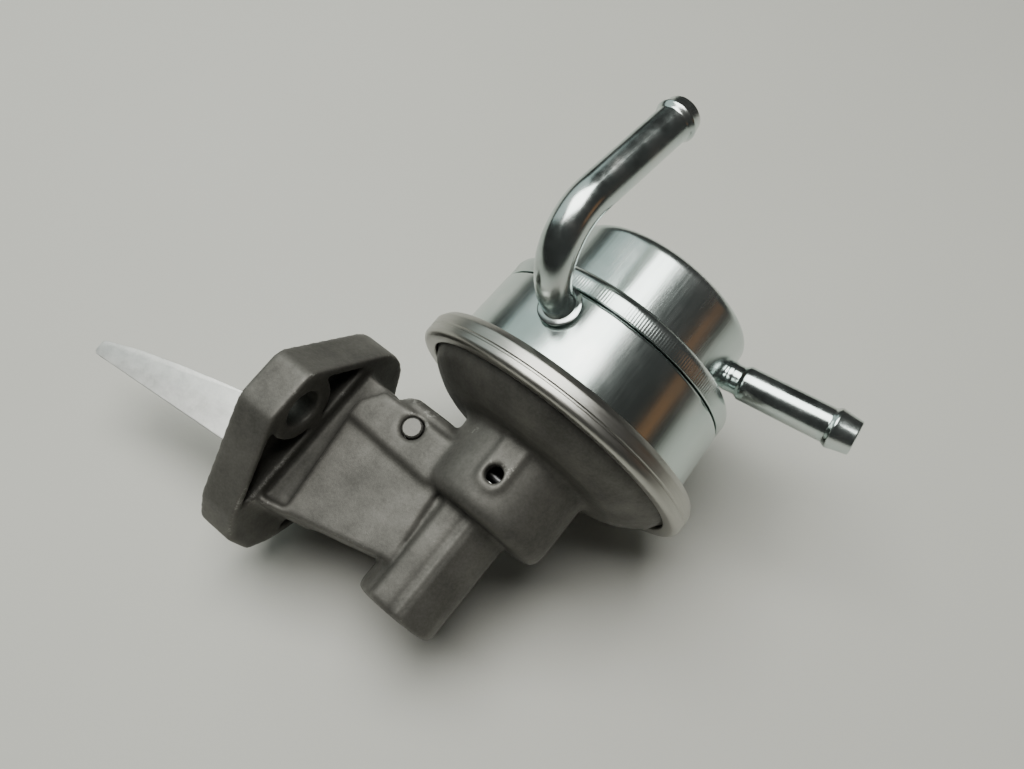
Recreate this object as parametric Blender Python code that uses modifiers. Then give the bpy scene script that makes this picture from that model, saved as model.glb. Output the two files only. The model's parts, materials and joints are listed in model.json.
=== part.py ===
"""Mechanical fuel pump, driven by a cam through a rocker arm.

The origin is on the mounting face of the flange, level with the pivot pin. +X runs from the engine to the
can, +Y runs up the axis of the can, and +Z runs along the pivot pin. All sizes are in metres.
"""

import math

import bmesh
import bpy
from mathutils import Matrix, Vector

CLEARANCE = 0.0003
RUNNING_GAP = 0.0004
WALL = 0.0022
OVERSHOOT = 0.0020
FINE_STEPS = 40
ROUND_STEPS = 20
SMALL_STEPS = 16
COIL_STEPS = 8
CLOSED_TURNS = 0.75
CLOSED_PITCH = 1.05
SMOOTH_ANGLE = math.radians(35)
ARC_STEP = math.radians(18)

# Where the axis of the can and its rim stand from the mounting face and the pivot pin
CAN_X = 0.0456
RIM_Y = 0.0212

# Crimp ring and the stack that it clamps; heights along the can count from the rim
RING_RADIUS = 0.0330
RING_SHEET = 0.0008
RING_TOP = 0.0012
RING_CHAMFER = 0.0007
ROUND_SHARE = 0.3
LIP_REACH = 0.0034
CAN_SHEET = 0.0007
VALVE_SHEET = 0.0006
DIAPHRAGM_SHEET = 0.0006
RIM_THICKNESS = 0.0013

# Lower body casting: cup, centre boss and well
CUP_INSET = 0.0046
CUP_RADIUS = RING_RADIUS - CUP_INSET
CUP_DEPTH = 0.0110
CUP_FILLET = 0.0016
BOSS_RADIUS = 0.0149
BOSS_TIP = -0.0278
BOSS_ROUND = 0.0029
BOSS_WALL = 0.0025
WELL_RADIUS = BOSS_RADIUS - BOSS_WALL
WELL_FLOOR = -0.0214
WELL_ROUND = 0.0011
# The cup's underside and inside, each as shares of its width and of its drop below the rim
CUP_SHARES = ((1.0, 0.27), (0.92, 0.43), (0.76, 0.61), (0.58, 0.79), (0.34, 0.94))
WELL_SHARES = ((1.0, 0.20), (0.81, 0.62), (0.54, 1.0))

# Vent hole and its pad, on the centre boss
VENT_HEIGHT = -0.0191
VENT_RADIUS = 0.0019
VENT_OFFSET = 0.0006
VENT_PAD_HALF_WIDTH = 0.0029
VENT_PAD_DROP = 0.0034
VENT_PAD_RISE = 0.0004
VENT_NOTCH_WIDTH = 0.0010
VENT_NOTCH_DEPTH = 0.0005

# Boss of the arm's return spring, with a flat strip and two ridges down its side
SPRING_BOSS_X = -0.0016
SPRING_BOSS_RADIUS = 0.00915
SPRING_BOSS_BOTTOM = -0.0518
SPRING_BOSS_ROUND = 0.0012
STRIP_X = -0.0052
STRIP_WIDTH = 0.0041
STRIP_REACH = 0.0094
STRIP_BOTTOM = -0.0513
RIDGE_X = 0.0009
RIDGE_WIDTH = 0.0007
RIDGE_PITCH = 0.0013
RIDGE_REACH = 0.0091
RIDGE_DROP = 0.0005

# Mounting flange
FLANGE_THICKNESS = 0.0091
FLANGE_TOP = 0.0109
FLANGE_BOTTOM = -0.0406
FLANGE_EDGE_ROUND = 0.0008
CROWN_HALF_WIDTH = 0.0039
CROWN_ROUND = 0.0081
LOBE_UP = 0.0058
LOBE_DOWN = 0.0057
LOBE_ROUND = 0.0034
FOOT_HALF_WIDTH = 0.0105
FOOT_RISE = 0.0041
TOE_HALF_WIDTH = 0.0047
FOOT_ROUND = 0.0026
BOLT_HEIGHT = -0.0111
BOLT_HALF_SPACING = 0.0182
BOLT_HOLE_RADIUS = 0.0042
BOLT_BOSS_RADIUS = 0.0075
LOBE_REACH = 0.0072
FLANGE_HALF_SPAN = BOLT_HALF_SPACING + LOBE_REACH
OPENING_TOP = -0.0070
OPENING_BOTTOM = -0.0360
OPENING_HALF_WIDTH = 0.0080
OPENING_ROUND = 0.0040

# Hollows in the back of the flange, above and below each bolt boss
HOLLOW_DEPTH = 0.0050
HOLLOW_NEAR = BOLT_HALF_SPACING - BOLT_BOSS_RADIUS - 0.0010
HOLLOW_TOP = 0.0040
HOLLOW_UPPER_REACH = 0.0012
HOLLOW_LOWER_REACH = 0.0031
HOLLOW_SHOULDER = 0.0078
HOLLOW_ELBOW = 0.0080
HOLLOW_FOOT = 0.0064

# Rocker housing, in the frame of the part: a neck, a block, two cheeks, a crown and a web under the neck
NECK_HALF_WIDTH = 0.0068
NECK_TOP_Y = 0.0036
NECK_BOTTOM_Y = -0.0306
NECK_END = 0.0174
NECK_RISE = 0.0022
HOUSING_HALF_WIDTH = 0.0087
HOUSING_LEFT = 0.0124
HOUSING_LEAN = 0.0029
HOUSING_SHOULDER = 0.0159
HOUSING_CORNER = -0.0020
HOUSING_BOTTOM = -0.0290
HOUSING_BACK = 0.0082
HOUSING_DEEP = 0.0064
HOUSING_DEEP_Y = -0.0229
RIB_START = 0.0216
RIB_END = 0.0326
RIB_TOP = 0.0049
RIB_FALL = 0.0005
CHEEK_HALF_WIDTH = 0.0100
CHEEK_TOP = 0.00275
CHEEK_BOTTOM = -0.0058
CHEEK_FALL = 0.0011
CHEEK_END = 0.0349
GROOVE_DEPTH = 0.0009
GROOVE_WIDTH = 0.0008
HOUSING_CROWN_HALF_WIDTH = 0.0080
HOUSING_CROWN_TOP = 0.0059
HOUSING_CROWN_ROUND = 0.0010
WEB_LEFT = 0.0072
WEB_THICKNESS = 0.0016
WEB_RISE = 0.0021
CAVITY_HALF_WIDTH = 0.0064
CAVITY_NECK_HALF_WIDTH = 0.0048
CAVITY_ROOF = -0.0038
CAVITY_STEP = 0.0164
CAVITY_SILL = -0.0335
CAVITY_ELBOW = 0.0160
CAVITY_ELBOW_Y = -0.0268
CAVITY_DEEP = 0.0067
CAVITY_DEEP_Y = -0.0206
CAVITY_BROW = -0.0022

# Pivot pin and rocker arm
PIVOT_X = 0.0254
PIN_RADIUS = 0.0022
HUB_RADIUS = 0.0040
ARM_HALF_THICKNESS = 0.0025
FORK_HALF_WIDTH = 0.0054
FORK_SLOT_HALF_WIDTH = 0.0022
FORK_SLOT_LENGTH = 0.0080
FORK_START = 0.0062
FORK_TOP_DROP = 0.0006
FORK_HEEL = 0.0040
FORK_NOSE = 0.0023
FORK_THROAT = 0.0095
ARM_TIP_X = -0.0488
ARM_TIP_TOP = -0.0266
ARM_TIP_BOTTOM = -0.0307
ARM_TIP_ROUND = 0.0013
ARM_EDGE_ROUND = 0.0005
PAD_RADIUS = 0.0040
PAD_ANGLES = (30, 15, 0, -15, -30)
FORK_BOTTOM = -0.0305
# The lever's upper and lower lines, as shares of the way to its tip and of the tip's drop
ARM_UPPER_SHARES = (
    (0.884, 0.872),
    (0.744, 0.752),
    (0.605, 0.647),
    (0.485, 0.564),
    (0.324, 0.432),
    (0.162, 0.188),
)
ARM_LOWER_SHARES = ((0.081, 0.456), (0.283, 0.801), (0.484, 0.863))

# Pull rod, diaphragm plates and diaphragm
ROD_RADIUS = 0.0018
ROD_HEAD_RADIUS = 0.0032
ROD_HEAD_LENGTH = 0.0022
ROD_HOLE_DEPTH = 0.0200
RIVET_RADIUS = 0.0028
RIVET_HEIGHT = 0.0011
WASHER_RADIUS = 0.0046
WASHER_THICKNESS = 0.0007
PLATE_RADIUS = CUP_RADIUS * 0.662
PLATE_THICKNESS = 0.0010
PLATE_TURN = 0.0020
UPPER_PLATE_RADIUS = PLATE_RADIUS - PLATE_THICKNESS
DIAPHRAGM_ROLL = 0.0007

# Coil springs: outer radius, wire radius and turns
DIAPHRAGM_SPRING_RADIUS = WELL_RADIUS - 0.0014
DIAPHRAGM_WIRE_RADIUS = 0.0008
DIAPHRAGM_SPRING_TURNS = 4.5
ARM_SPRING_RADIUS = SPRING_BOSS_RADIUS - 0.00255
ARM_WIRE_RADIUS = 0.00065
ARM_SPRING_TURNS = 7
VALVE_WIRE_RADIUS = 0.00025
VALVE_SPRING_TURNS = 2.5

# Oil seal and its retainer
SEAL_RADIUS = 0.0050
SEAL_HEIGHT = 0.0036
RETAINER_SHEET = 0.0006

# Middle can, partition and upper can
MIDDLE_FOOT_RADIUS = RING_RADIUS - 0.0048
MIDDLE_TOP_RADIUS = MIDDLE_FOOT_RADIUS - 0.0007
MIDDLE_SHOULDER = 0.0164
BAND_RADIUS = MIDDLE_TOP_RADIUS - 0.0001
BAND_ROUND = 0.0022
SHELF_TOP = 0.0195
SHELF_RADIUS = BAND_RADIUS - 0.0089
SHELF_ROUND = 0.0014
PARTITION_SHEET = 0.0006
PARTITION_RADIUS = BAND_RADIUS - 0.0024
COLLAR_DEPTH = 0.0034
UPPER_RADIUS = BAND_RADIUS - 0.00575
UPPER_TOP = 0.0364
UPPER_ROUND = 0.0026
FLARE_ROUND = 0.0010

# Valve body with its two valves, all in proportion to its cup
VALVE_PLATE_TOP = 0.0082
VALVE_PLATE_THICKNESS = 0.0012
VALVE_CUP_RADIUS = MIDDLE_FOOT_RADIUS - 0.0018
VALVE_CUP_ROUND = 0.0010
NECK_RADIUS = VALVE_CUP_RADIUS * 0.322
NECK_WALL = 0.0010
NECK_TOP = 0.0190
VALVE_CAGE_RIM = VALVE_CUP_RADIUS * 0.2803
VALVE_CAGE_RADIUS = VALVE_CAGE_RIM - 0.0009
VALVE_CAGE_DEPTH = 0.0043
VALVE_CAGE_SHEET = 0.0005
VALVE_DISC_RADIUS = VALVE_CAGE_RADIUS - 0.0010
VALVE_DISC_THICKNESS = 0.0008
VALVE_SPRING_RADIUS = VALVE_DISC_RADIUS - 0.0019
PORT_RADIUS = VALVE_DISC_RADIUS - 0.0013
OUTLET_VALVE_OFFSET = NECK_RADIUS + VALVE_CAGE_RIM + 0.0009
CAGE_WINDOW_WIDTH = VALVE_CAGE_RADIUS * 0.68
CAGE_WINDOW_HEIGHT = 0.0022
CAGE_HOLE_RADIUS = 0.0016

# Pipes
PIPE_RADIUS = 0.0039
PIPE_WALL = 0.0008
BEAD_RADIUS = 0.0045
BEAD_WIDTH = 0.0016
BEAD_SHARE = 0.8
NOSE_LENGTH = 0.0045
NOSE_RADIUS = 0.0036
COLLAR_RADIUS = 0.0050
COLLAR_WIDTH = 0.0010
COLLAR_STANDOFF = 0.0008
PIPE_INSERT = 0.0014
PIPE_HOLE_DEPTH = 0.0120
INLET_HEIGHT = 0.0285
INLET_LENGTH = 0.0282
INLET_PITCH = math.radians(6.6)
INLET_YAW = math.radians(2.0)
OUTLET_HEIGHT = 0.0115
OUTLET_AZIMUTH = math.radians(12.8)
OUTLET_RISE = 0.0034
OUTLET_BEND_RADIUS = 0.0128
OUTLET_RUN = 0.0265
OUTLET_YAW = math.radians(2.4)
OUTLET_PITCH = math.radians(11.7)
OUTLET_STEPS = 10
OUTLET_BEAD_BACK = 0.0026
OUTLET_COLLAR_OUT = 0.0014

# Heights in the clamped stack, from the top down
CAN_FLANGE_TOP = RING_TOP - RING_SHEET - CLEARANCE
CAN_FLANGE_BOTTOM = CAN_FLANGE_TOP - CAN_SHEET
VALVE_FLANGE_TOP = CAN_FLANGE_BOTTOM - CLEARANCE
VALVE_FLANGE_BOTTOM = VALVE_FLANGE_TOP - VALVE_SHEET
DIAPHRAGM_TOP = VALVE_FLANGE_BOTTOM - CLEARANCE
DIAPHRAGM_BOTTOM = DIAPHRAGM_TOP - DIAPHRAGM_SHEET
RIM_TOP = DIAPHRAGM_BOTTOM - CLEARANCE
RIM_BOTTOM = RIM_TOP - RIM_THICKNESS
LIP_TOP = RIM_BOTTOM - CLEARANCE
RING_BOTTOM = LIP_TOP - RING_SHEET
STACK_RADIUS = RING_RADIUS - RING_SHEET - CLEARANCE


def new_collection(name):
    collection = bpy.data.collections.new(name)
    bpy.context.scene.collection.children.link(collection)
    return collection


def new_material(name, colour, roughness, metallic):
    material = bpy.data.materials.new(name)
    material.use_nodes = True
    shader = material.node_tree.nodes["Principled BSDF"]
    shader.inputs["Base Color"].default_value = (*colour, 1.0)
    shader.inputs["Roughness"].default_value = roughness
    shader.inputs["Metallic"].default_value = metallic
    return material


def as_cutter(obj):
    """Moves an object to the cutters, where it shapes others and isn't a piece itself."""
    for collection in obj.users_collection:
        collection.objects.unlink(obj)
    cutters.objects.link(obj)
    obj.hide_render = True
    obj.display_type = "WIRE"
    return obj


def add_object(name, mesh, material=None):
    obj = bpy.data.objects.new(name, mesh)
    pump.objects.link(obj)
    if material:
        mesh.materials.append(material)
    return obj


def shade_smooth(obj):
    obj.data.shade_smooth()
    obj.data.set_sharp_from_angle(angle=SMOOTH_ANGLE)


def boolean(obj, other, operation):
    modifier = obj.modifiers.new(other.name, "BOOLEAN")
    modifier.object = other
    modifier.operation = operation
    modifier.solver = "EXACT"


def cut(obj, *others):
    for other in others:
        boolean(obj, other, "DIFFERENCE")


def join(obj, *others):
    for other in others:
        boolean(obj, other, "UNION")


def arc(centre, radius, start, end, steps):
    """Points along an arc in a profile, from one angle in degrees to another."""
    points = []
    for step in range(steps + 1):
        angle = math.radians(start + (end - start) * step / steps)
        points.append((centre[0] + radius * math.cos(angle), centre[1] + radius * math.sin(angle)))
    return points


def can_axis(height=0.0, offset=0.0):
    """The frame of a turned piece on the can: its local Z is the axis of the can."""
    turn = Matrix.Rotation(-math.pi / 2, 4, "X")
    return Matrix.Translation((CAN_X + offset, RIM_Y + height, 0.0)) @ turn


def turned(name, profile, frame, material=None, steps=FINE_STEPS):
    """A closed profile of (radius, height), clockwise, turned about the local Z of a frame."""
    mesh = bpy.data.meshes.new(name)
    points = [(radius, 0.0, height) for radius, height in profile]
    touches_axis = profile[0][0] == 0.0
    edges = [(i, i + 1) for i in range(len(points) - 1)]
    if not touches_axis:
        edges.append((len(points) - 1, 0))
    mesh.from_pydata(points, edges, [])
    obj = add_object(name, mesh, material)
    obj.matrix_world = frame
    screw = obj.modifiers.new("turn", "SCREW")
    screw.axis = "Z"
    screw.steps = steps
    screw.render_steps = steps
    screw.use_merge_vertices = True
    screw.merge_threshold = 0.00001
    screw.use_smooth_shade = True
    return obj


def mesh_from_curve(obj):
    """Makes a curve object a mesh object with welded caps, in the same place."""
    bpy.context.view_layer.update()
    graph = bpy.context.evaluated_depsgraph_get()
    mesh = bpy.data.meshes.new_from_object(obj.evaluated_get(graph))
    edit = bmesh.new()
    edit.from_mesh(mesh)
    bmesh.ops.remove_doubles(edit, verts=edit.verts, dist=0.000001)
    bmesh.ops.recalc_face_normals(edit, faces=edit.faces)
    edit.to_mesh(mesh)
    edit.free()
    name = obj.name
    frame = obj.matrix_world.copy()
    bpy.data.objects.remove(obj)
    made = add_object(name, mesh)
    made.matrix_world = frame
    return made


def slab(name, outline, half_thickness, frame=Matrix.Identity(4), material=None, edge_round=0.0):
    """A flat outline with a thickness to both sides of its plane."""
    curve = bpy.data.curves.new(name + "_outline", "CURVE")
    curve.dimensions = "2D"
    curve.fill_mode = "BOTH"
    curve.extrude = half_thickness
    spline = curve.splines.new("POLY")
    spline.points.add(len(outline) - 1)
    for point, (across, up) in zip(spline.points, outline):
        point.co = (across, up, 0.0, 1.0)
    spline.use_cyclic_u = True
    flat = bpy.data.objects.new(name, curve)
    pump.objects.link(flat)
    flat.matrix_world = frame
    made = mesh_from_curve(flat)
    made.name = name
    if material:
        made.data.materials.append(material)
    if edge_round:
        add_bevel(made, edge_round)
    return made


def add_bevel(obj, width, segments=1, angle=math.radians(50)):
    bevel = obj.modifiers.new("edge", "BEVEL")
    bevel.width = width
    bevel.segments = segments
    bevel.limit_method = "ANGLE"
    bevel.angle_limit = angle


def rounded(corners):
    """An outline from corners of (across, up, radius), each with its arc."""
    points = []
    count = len(corners)
    for index, (across, up, radius) in enumerate(corners):
        corner = Vector((across, up))
        before = Vector(corners[index - 1][:2]) - corner
        after = Vector(corners[(index + 1) % count][:2]) - corner
        if radius == 0.0:
            points.append((across, up))
            continue
        before.normalize()
        after.normalize()
        half = before.angle(after) / 2
        reach = radius / math.tan(half)
        centre = corner + (before + after).normalized() * radius / math.sin(half)
        first = corner + before * reach - centre
        last = corner + after * reach - centre
        steps = max(2, round(first.angle(last) / ARC_STEP))
        turn = first.angle_signed(last)
        for step in range(steps + 1):
            spot = centre + Matrix.Rotation(-turn * step / steps, 2) @ first
            points.append((spot.x, spot.y))
    return points


def tube(name, points, radius, sides_resolution, material=None):
    """A round bar along a list of points, with filled caps."""
    curve = bpy.data.curves.new(name + "_route", "CURVE")
    curve.dimensions = "3D"
    curve.bevel_depth = radius
    curve.bevel_resolution = sides_resolution
    curve.use_fill_caps = True
    spline = curve.splines.new("POLY")
    spline.points.add(len(points) - 1)
    for point, spot in zip(spline.points, points):
        point.co = (*spot, 1.0)
    obj = bpy.data.objects.new(name, curve)
    pump.objects.link(obj)
    if material:
        curve.materials.append(material)
    return obj


def coil(name, outer_radius, wire_radius, turns, bottom, top, frame_x, material):
    """A coil spring with closed end turns, between two heights on an axis along Y."""
    middle = outer_radius - wire_radius
    low = bottom + wire_radius
    high = top - wire_radius
    count = round(turns * COIL_STEPS)
    dead = CLOSED_TURNS / turns
    closed = 2 * wire_radius * CLOSED_PITCH * CLOSED_TURNS
    points = []
    for step in range(count + 1):
        share = step / count
        rise = min(max((share - dead) / (1 - 2 * dead), 0.0), 1.0)
        closed_low = closed * min(share / dead, 1.0)
        closed_high = closed * min(max((share - 1 + dead) / dead, 0.0), 1.0)
        height = low + closed_low + closed_high + rise * (high - low - 2 * closed)
        angle = 2 * math.pi * turns * share
        points.append((frame_x + middle * math.cos(angle), height, middle * math.sin(angle)))
    return tube(name, points, wire_radius, 2, material)


def cylinder(name, radius, depth, frame, steps=ROUND_STEPS, material=None):
    """A cylinder centred in a frame, along its local Z."""
    edit = bmesh.new()
    bmesh.ops.create_cone(
        edit, cap_ends=True, segments=steps, radius1=radius, radius2=radius, depth=depth
    )
    mesh = bpy.data.meshes.new(name)
    edit.to_mesh(mesh)
    edit.free()
    obj = add_object(name, mesh, material)
    obj.matrix_world = frame
    return obj


def box(name, low, high):
    edit = bmesh.new()
    bmesh.ops.create_cube(edit, size=1.0)
    mesh = bpy.data.meshes.new(name)
    size = Vector(high) - Vector(low)
    middle = (Vector(high) + Vector(low)) / 2
    placing = Matrix.Translation(middle) @ Matrix.Diagonal((*size, 1.0))
    bmesh.ops.transform(edit, matrix=placing, verts=edit.verts)
    edit.to_mesh(mesh)
    edit.free()
    return add_object(name, mesh)


def build_crimp_ring():
    inner = RING_RADIUS - RING_SHEET
    top_reach = RING_RADIUS - MIDDLE_FOOT_RADIUS - RUNNING_GAP
    profile = [
        (RING_RADIUS - top_reach, RING_TOP),
        (RING_RADIUS - RING_CHAMFER, RING_TOP),
        (RING_RADIUS - RING_CHAMFER * ROUND_SHARE, RING_TOP - RING_CHAMFER * ROUND_SHARE),
        (RING_RADIUS, RING_TOP - RING_CHAMFER),
        (RING_RADIUS, RING_BOTTOM + RING_CHAMFER),
        (RING_RADIUS - RING_CHAMFER * ROUND_SHARE, RING_BOTTOM + RING_CHAMFER * ROUND_SHARE),
        (RING_RADIUS - RING_CHAMFER, RING_BOTTOM),
        (RING_RADIUS - LIP_REACH, RING_BOTTOM),
        (RING_RADIUS - LIP_REACH, LIP_TOP),
        (inner, LIP_TOP),
        (inner, RING_TOP - RING_SHEET),
        (RING_RADIUS - top_reach, RING_TOP - RING_SHEET),
    ]
    turned("crimp_ring", profile, can_axis(), satin_steel)


def build_middle_can():
    neck = BAND_RADIUS - CAN_SHEET - CLEARANCE
    inner_foot = MIDDLE_FOOT_RADIUS - CAN_SHEET
    inner_top = MIDDLE_TOP_RADIUS - CAN_SHEET
    shelf_centre = (neck - SHELF_ROUND, SHELF_TOP - SHELF_ROUND)
    profile = [
        (SHELF_RADIUS, SHELF_TOP),
        *arc(shelf_centre, SHELF_ROUND, 90, 0, 2),
        (neck, MIDDLE_SHOULDER),
        (MIDDLE_TOP_RADIUS, MIDDLE_SHOULDER - CAN_SHEET),
        (MIDDLE_FOOT_RADIUS, RING_TOP + CLEARANCE),
        (MIDDLE_FOOT_RADIUS, CAN_FLANGE_TOP),
        (STACK_RADIUS, CAN_FLANGE_TOP),
        (STACK_RADIUS, CAN_FLANGE_BOTTOM),
        (inner_foot, CAN_FLANGE_BOTTOM),
        (inner_top, MIDDLE_SHOULDER - 2 * CAN_SHEET),
        (neck - CAN_SHEET, MIDDLE_SHOULDER - CAN_SHEET),
        *arc(shelf_centre, SHELF_ROUND - CAN_SHEET, 0, 90, 1),
        (SHELF_RADIUS, SHELF_TOP - CAN_SHEET),
    ]
    can = turned("middle_can", profile, can_axis(), zinc_plate)
    cut(can, outlet_clearance_cutter())


def build_upper_can():
    flare_top = SHELF_TOP + PARTITION_SHEET + 2 * CLEARANCE + CAN_SHEET
    top_centre = (UPPER_RADIUS - UPPER_ROUND, UPPER_TOP - UPPER_ROUND)
    flare_centre = (UPPER_RADIUS + FLARE_ROUND, flare_top + FLARE_ROUND)
    band_centre = (BAND_RADIUS - BAND_ROUND, flare_top - BAND_ROUND)
    profile = [
        (0.0, UPPER_TOP),
        *arc(top_centre, UPPER_ROUND, 90, 0, 3),
        *arc(flare_centre, FLARE_ROUND, 180, 270, 2),
        *arc(band_centre, BAND_ROUND, 90, 0, 3),
        (BAND_RADIUS, MIDDLE_SHOULDER + CLEARANCE),
        (BAND_RADIUS - CAN_SHEET, MIDDLE_SHOULDER + CLEARANCE),
        *arc(band_centre, BAND_ROUND - CAN_SHEET, 0, 90, 1),
        *arc(flare_centre, FLARE_ROUND + CAN_SHEET, 270, 180, 1),
        *arc(top_centre, UPPER_ROUND - CAN_SHEET, 0, 90, 1),
        (0.0, UPPER_TOP - CAN_SHEET),
    ]
    can = turned("upper_can", profile, can_axis(), zinc_plate)
    hole = cylinder("inlet_hole", PIPE_RADIUS + CLEARANCE, PIPE_HOLE_DEPTH, inlet_frame(), SMALL_STEPS)
    cut(can, as_cutter(hole))


def build_partition():
    top = SHELF_TOP + CLEARANCE + PARTITION_SHEET
    under = top - PARTITION_SHEET
    bore = NECK_RADIUS + CLEARANCE
    outer = bore + PARTITION_SHEET
    profile = [
        (bore, top),
        (PARTITION_RADIUS, top),
        (PARTITION_RADIUS, under),
        (outer, under),
        (outer, top - COLLAR_DEPTH),
        (bore, top - COLLAR_DEPTH),
    ]
    turned("partition", profile, can_axis(), zinc_plate, ROUND_STEPS)


def build_valve_body():
    under = VALVE_PLATE_TOP - VALVE_PLATE_THICKNESS
    inner = VALVE_CUP_RADIUS - VALVE_SHEET
    profile = [
        (NECK_RADIUS - NECK_WALL, NECK_TOP),
        (NECK_RADIUS, NECK_TOP),
        (NECK_RADIUS, VALVE_PLATE_TOP),
        (VALVE_CUP_RADIUS - VALVE_CUP_ROUND, VALVE_PLATE_TOP),
        (VALVE_CUP_RADIUS, VALVE_PLATE_TOP - VALVE_CUP_ROUND),
        (VALVE_CUP_RADIUS, VALVE_FLANGE_TOP),
        (STACK_RADIUS, VALVE_FLANGE_TOP),
        (STACK_RADIUS, VALVE_FLANGE_BOTTOM),
        (inner, VALVE_FLANGE_BOTTOM),
        (inner, under),
        (PORT_RADIUS, under),
        (PORT_RADIUS, VALVE_PLATE_TOP),
        (NECK_RADIUS - NECK_WALL, VALVE_PLATE_TOP),
    ]
    body = turned("valve_body", profile, can_axis(), die_cast_zinc, ROUND_STEPS)
    port_height = VALVE_PLATE_TOP - VALVE_PLATE_THICKNESS / 2
    frame = can_axis(port_height, OUTLET_VALVE_OFFSET)
    port = cylinder("outlet_port", PORT_RADIUS, VALVE_PLATE_THICKNESS + 2 * OVERSHOOT, frame, SMALL_STEPS)
    cut(body, as_cutter(port))


def valve_frame(offset, face, side):
    """The frame of a valve on a face of the valve plate: its local Z points away from the seat."""
    flip = Matrix.Identity(4) if side > 0 else Matrix.Rotation(math.pi, 4, "X")
    return can_axis(face, offset) @ flip


def build_valve(prefix, offset, face, side):
    """A disc, its spring and its cage; side is 1 where the disc lifts along +Y and -1 where along -Y."""
    frame = valve_frame(offset, face, side)
    disc_low = CLEARANCE
    disc_high = disc_low + VALVE_DISC_THICKNESS
    disc_profile = [
        (0.0, disc_high),
        (VALVE_DISC_RADIUS, disc_high),
        (VALVE_DISC_RADIUS, disc_low),
        (0.0, disc_low),
    ]
    turned(prefix + "_valve_disc", disc_profile, frame, seal_rubber, SMALL_STEPS)
    cage_low = CLEARANCE
    cage_inner = VALVE_CAGE_RADIUS - VALVE_CAGE_SHEET
    cage_profile = [
        (CAGE_HOLE_RADIUS, VALVE_CAGE_DEPTH),
        (VALVE_CAGE_RADIUS, VALVE_CAGE_DEPTH),
        (VALVE_CAGE_RADIUS, cage_low + VALVE_CAGE_SHEET),
        (VALVE_CAGE_RIM, cage_low + VALVE_CAGE_SHEET),
        (VALVE_CAGE_RIM, cage_low),
        (cage_inner, cage_low),
        (cage_inner, VALVE_CAGE_DEPTH - VALVE_CAGE_SHEET),
        (CAGE_HOLE_RADIUS, VALVE_CAGE_DEPTH - VALVE_CAGE_SHEET),
    ]
    cage = turned(prefix + "_valve_cage", cage_profile, frame, brass, SMALL_STEPS)
    window_low = VALVE_CAGE_DEPTH - VALVE_CAGE_SHEET - CAGE_WINDOW_HEIGHT
    for index in range(2):
        half = CAGE_WINDOW_WIDTH / 2
        low = (-VALVE_CAGE_RIM, -half, window_low)
        high = (VALVE_CAGE_RIM, half, window_low + CAGE_WINDOW_HEIGHT)
        window = box(f"{prefix}_cage_window_{index}", low, high)
        window.matrix_world = frame @ Matrix.Rotation(index * math.pi / 2, 4, "Z")
        cut(cage, as_cutter(window))
    spring_near = disc_high + CLEARANCE
    spring_far = VALVE_CAGE_DEPTH - VALVE_CAGE_SHEET - CLEARANCE
    ends = sorted((RIM_Y + face + side * spring_near, RIM_Y + face + side * spring_far))
    coil(
        prefix + "_valve_spring",
        VALVE_SPRING_RADIUS,
        VALVE_WIRE_RADIUS,
        VALVE_SPRING_TURNS,
        ends[0],
        ends[1],
        CAN_X + offset,
        spring_steel,
    )


def build_diaphragm():
    clamp_inner = CUP_RADIUS - WALL
    middle = (clamp_inner + PLATE_RADIUS) / 2
    upper = [
        (ROD_RADIUS + CLEARANCE, DIAPHRAGM_TOP),
        (PLATE_RADIUS, DIAPHRAGM_TOP),
        (middle, DIAPHRAGM_TOP + DIAPHRAGM_ROLL),
        (clamp_inner, DIAPHRAGM_TOP),
        (STACK_RADIUS, DIAPHRAGM_TOP),
    ]
    lower = [(radius, height - DIAPHRAGM_SHEET) for radius, height in reversed(upper)]
    turned("diaphragm", upper + lower, can_axis(), seal_rubber, ROUND_STEPS)


def build_diaphragm_plates():
    bore = ROD_RADIUS + CLEARANCE
    upper_low = DIAPHRAGM_TOP + CLEARANCE
    upper_high = upper_low + PLATE_THICKNESS
    edge = PLATE_THICKNESS / 2
    upper = [
        (bore, upper_high),
        (UPPER_PLATE_RADIUS - edge, upper_high),
        (UPPER_PLATE_RADIUS, upper_high - edge),
        (UPPER_PLATE_RADIUS, upper_low),
        (bore, upper_low),
    ]
    turned("upper_diaphragm_plate", upper, can_axis(), pressed_steel, ROUND_STEPS)
    lower_high = DIAPHRAGM_BOTTOM - CLEARANCE
    lower_low = lower_high - PLATE_THICKNESS
    lower = [
        (bore, lower_high),
        (PLATE_RADIUS - PLATE_THICKNESS, lower_high),
        (PLATE_RADIUS, lower_high - PLATE_THICKNESS),
        (PLATE_RADIUS, lower_high - PLATE_TURN),
        (PLATE_RADIUS - PLATE_THICKNESS, lower_high - PLATE_TURN),
        (PLATE_RADIUS - 2 * PLATE_THICKNESS, lower_low),
        (bore, lower_low),
    ]
    turned("lower_diaphragm_plate", lower, can_axis(), pressed_steel, ROUND_STEPS)
    washer_low = upper_high + CLEARANCE
    washer_high = washer_low + WASHER_THICKNESS
    washer = [
        (bore, washer_high),
        (WASHER_RADIUS, washer_high),
        (WASHER_RADIUS, washer_low),
        (bore, washer_low),
    ]
    turned("rod_rivet_washer", washer, can_axis(), pressed_steel, SMALL_STEPS)
    return lower_low, washer_high + CLEARANCE


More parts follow.
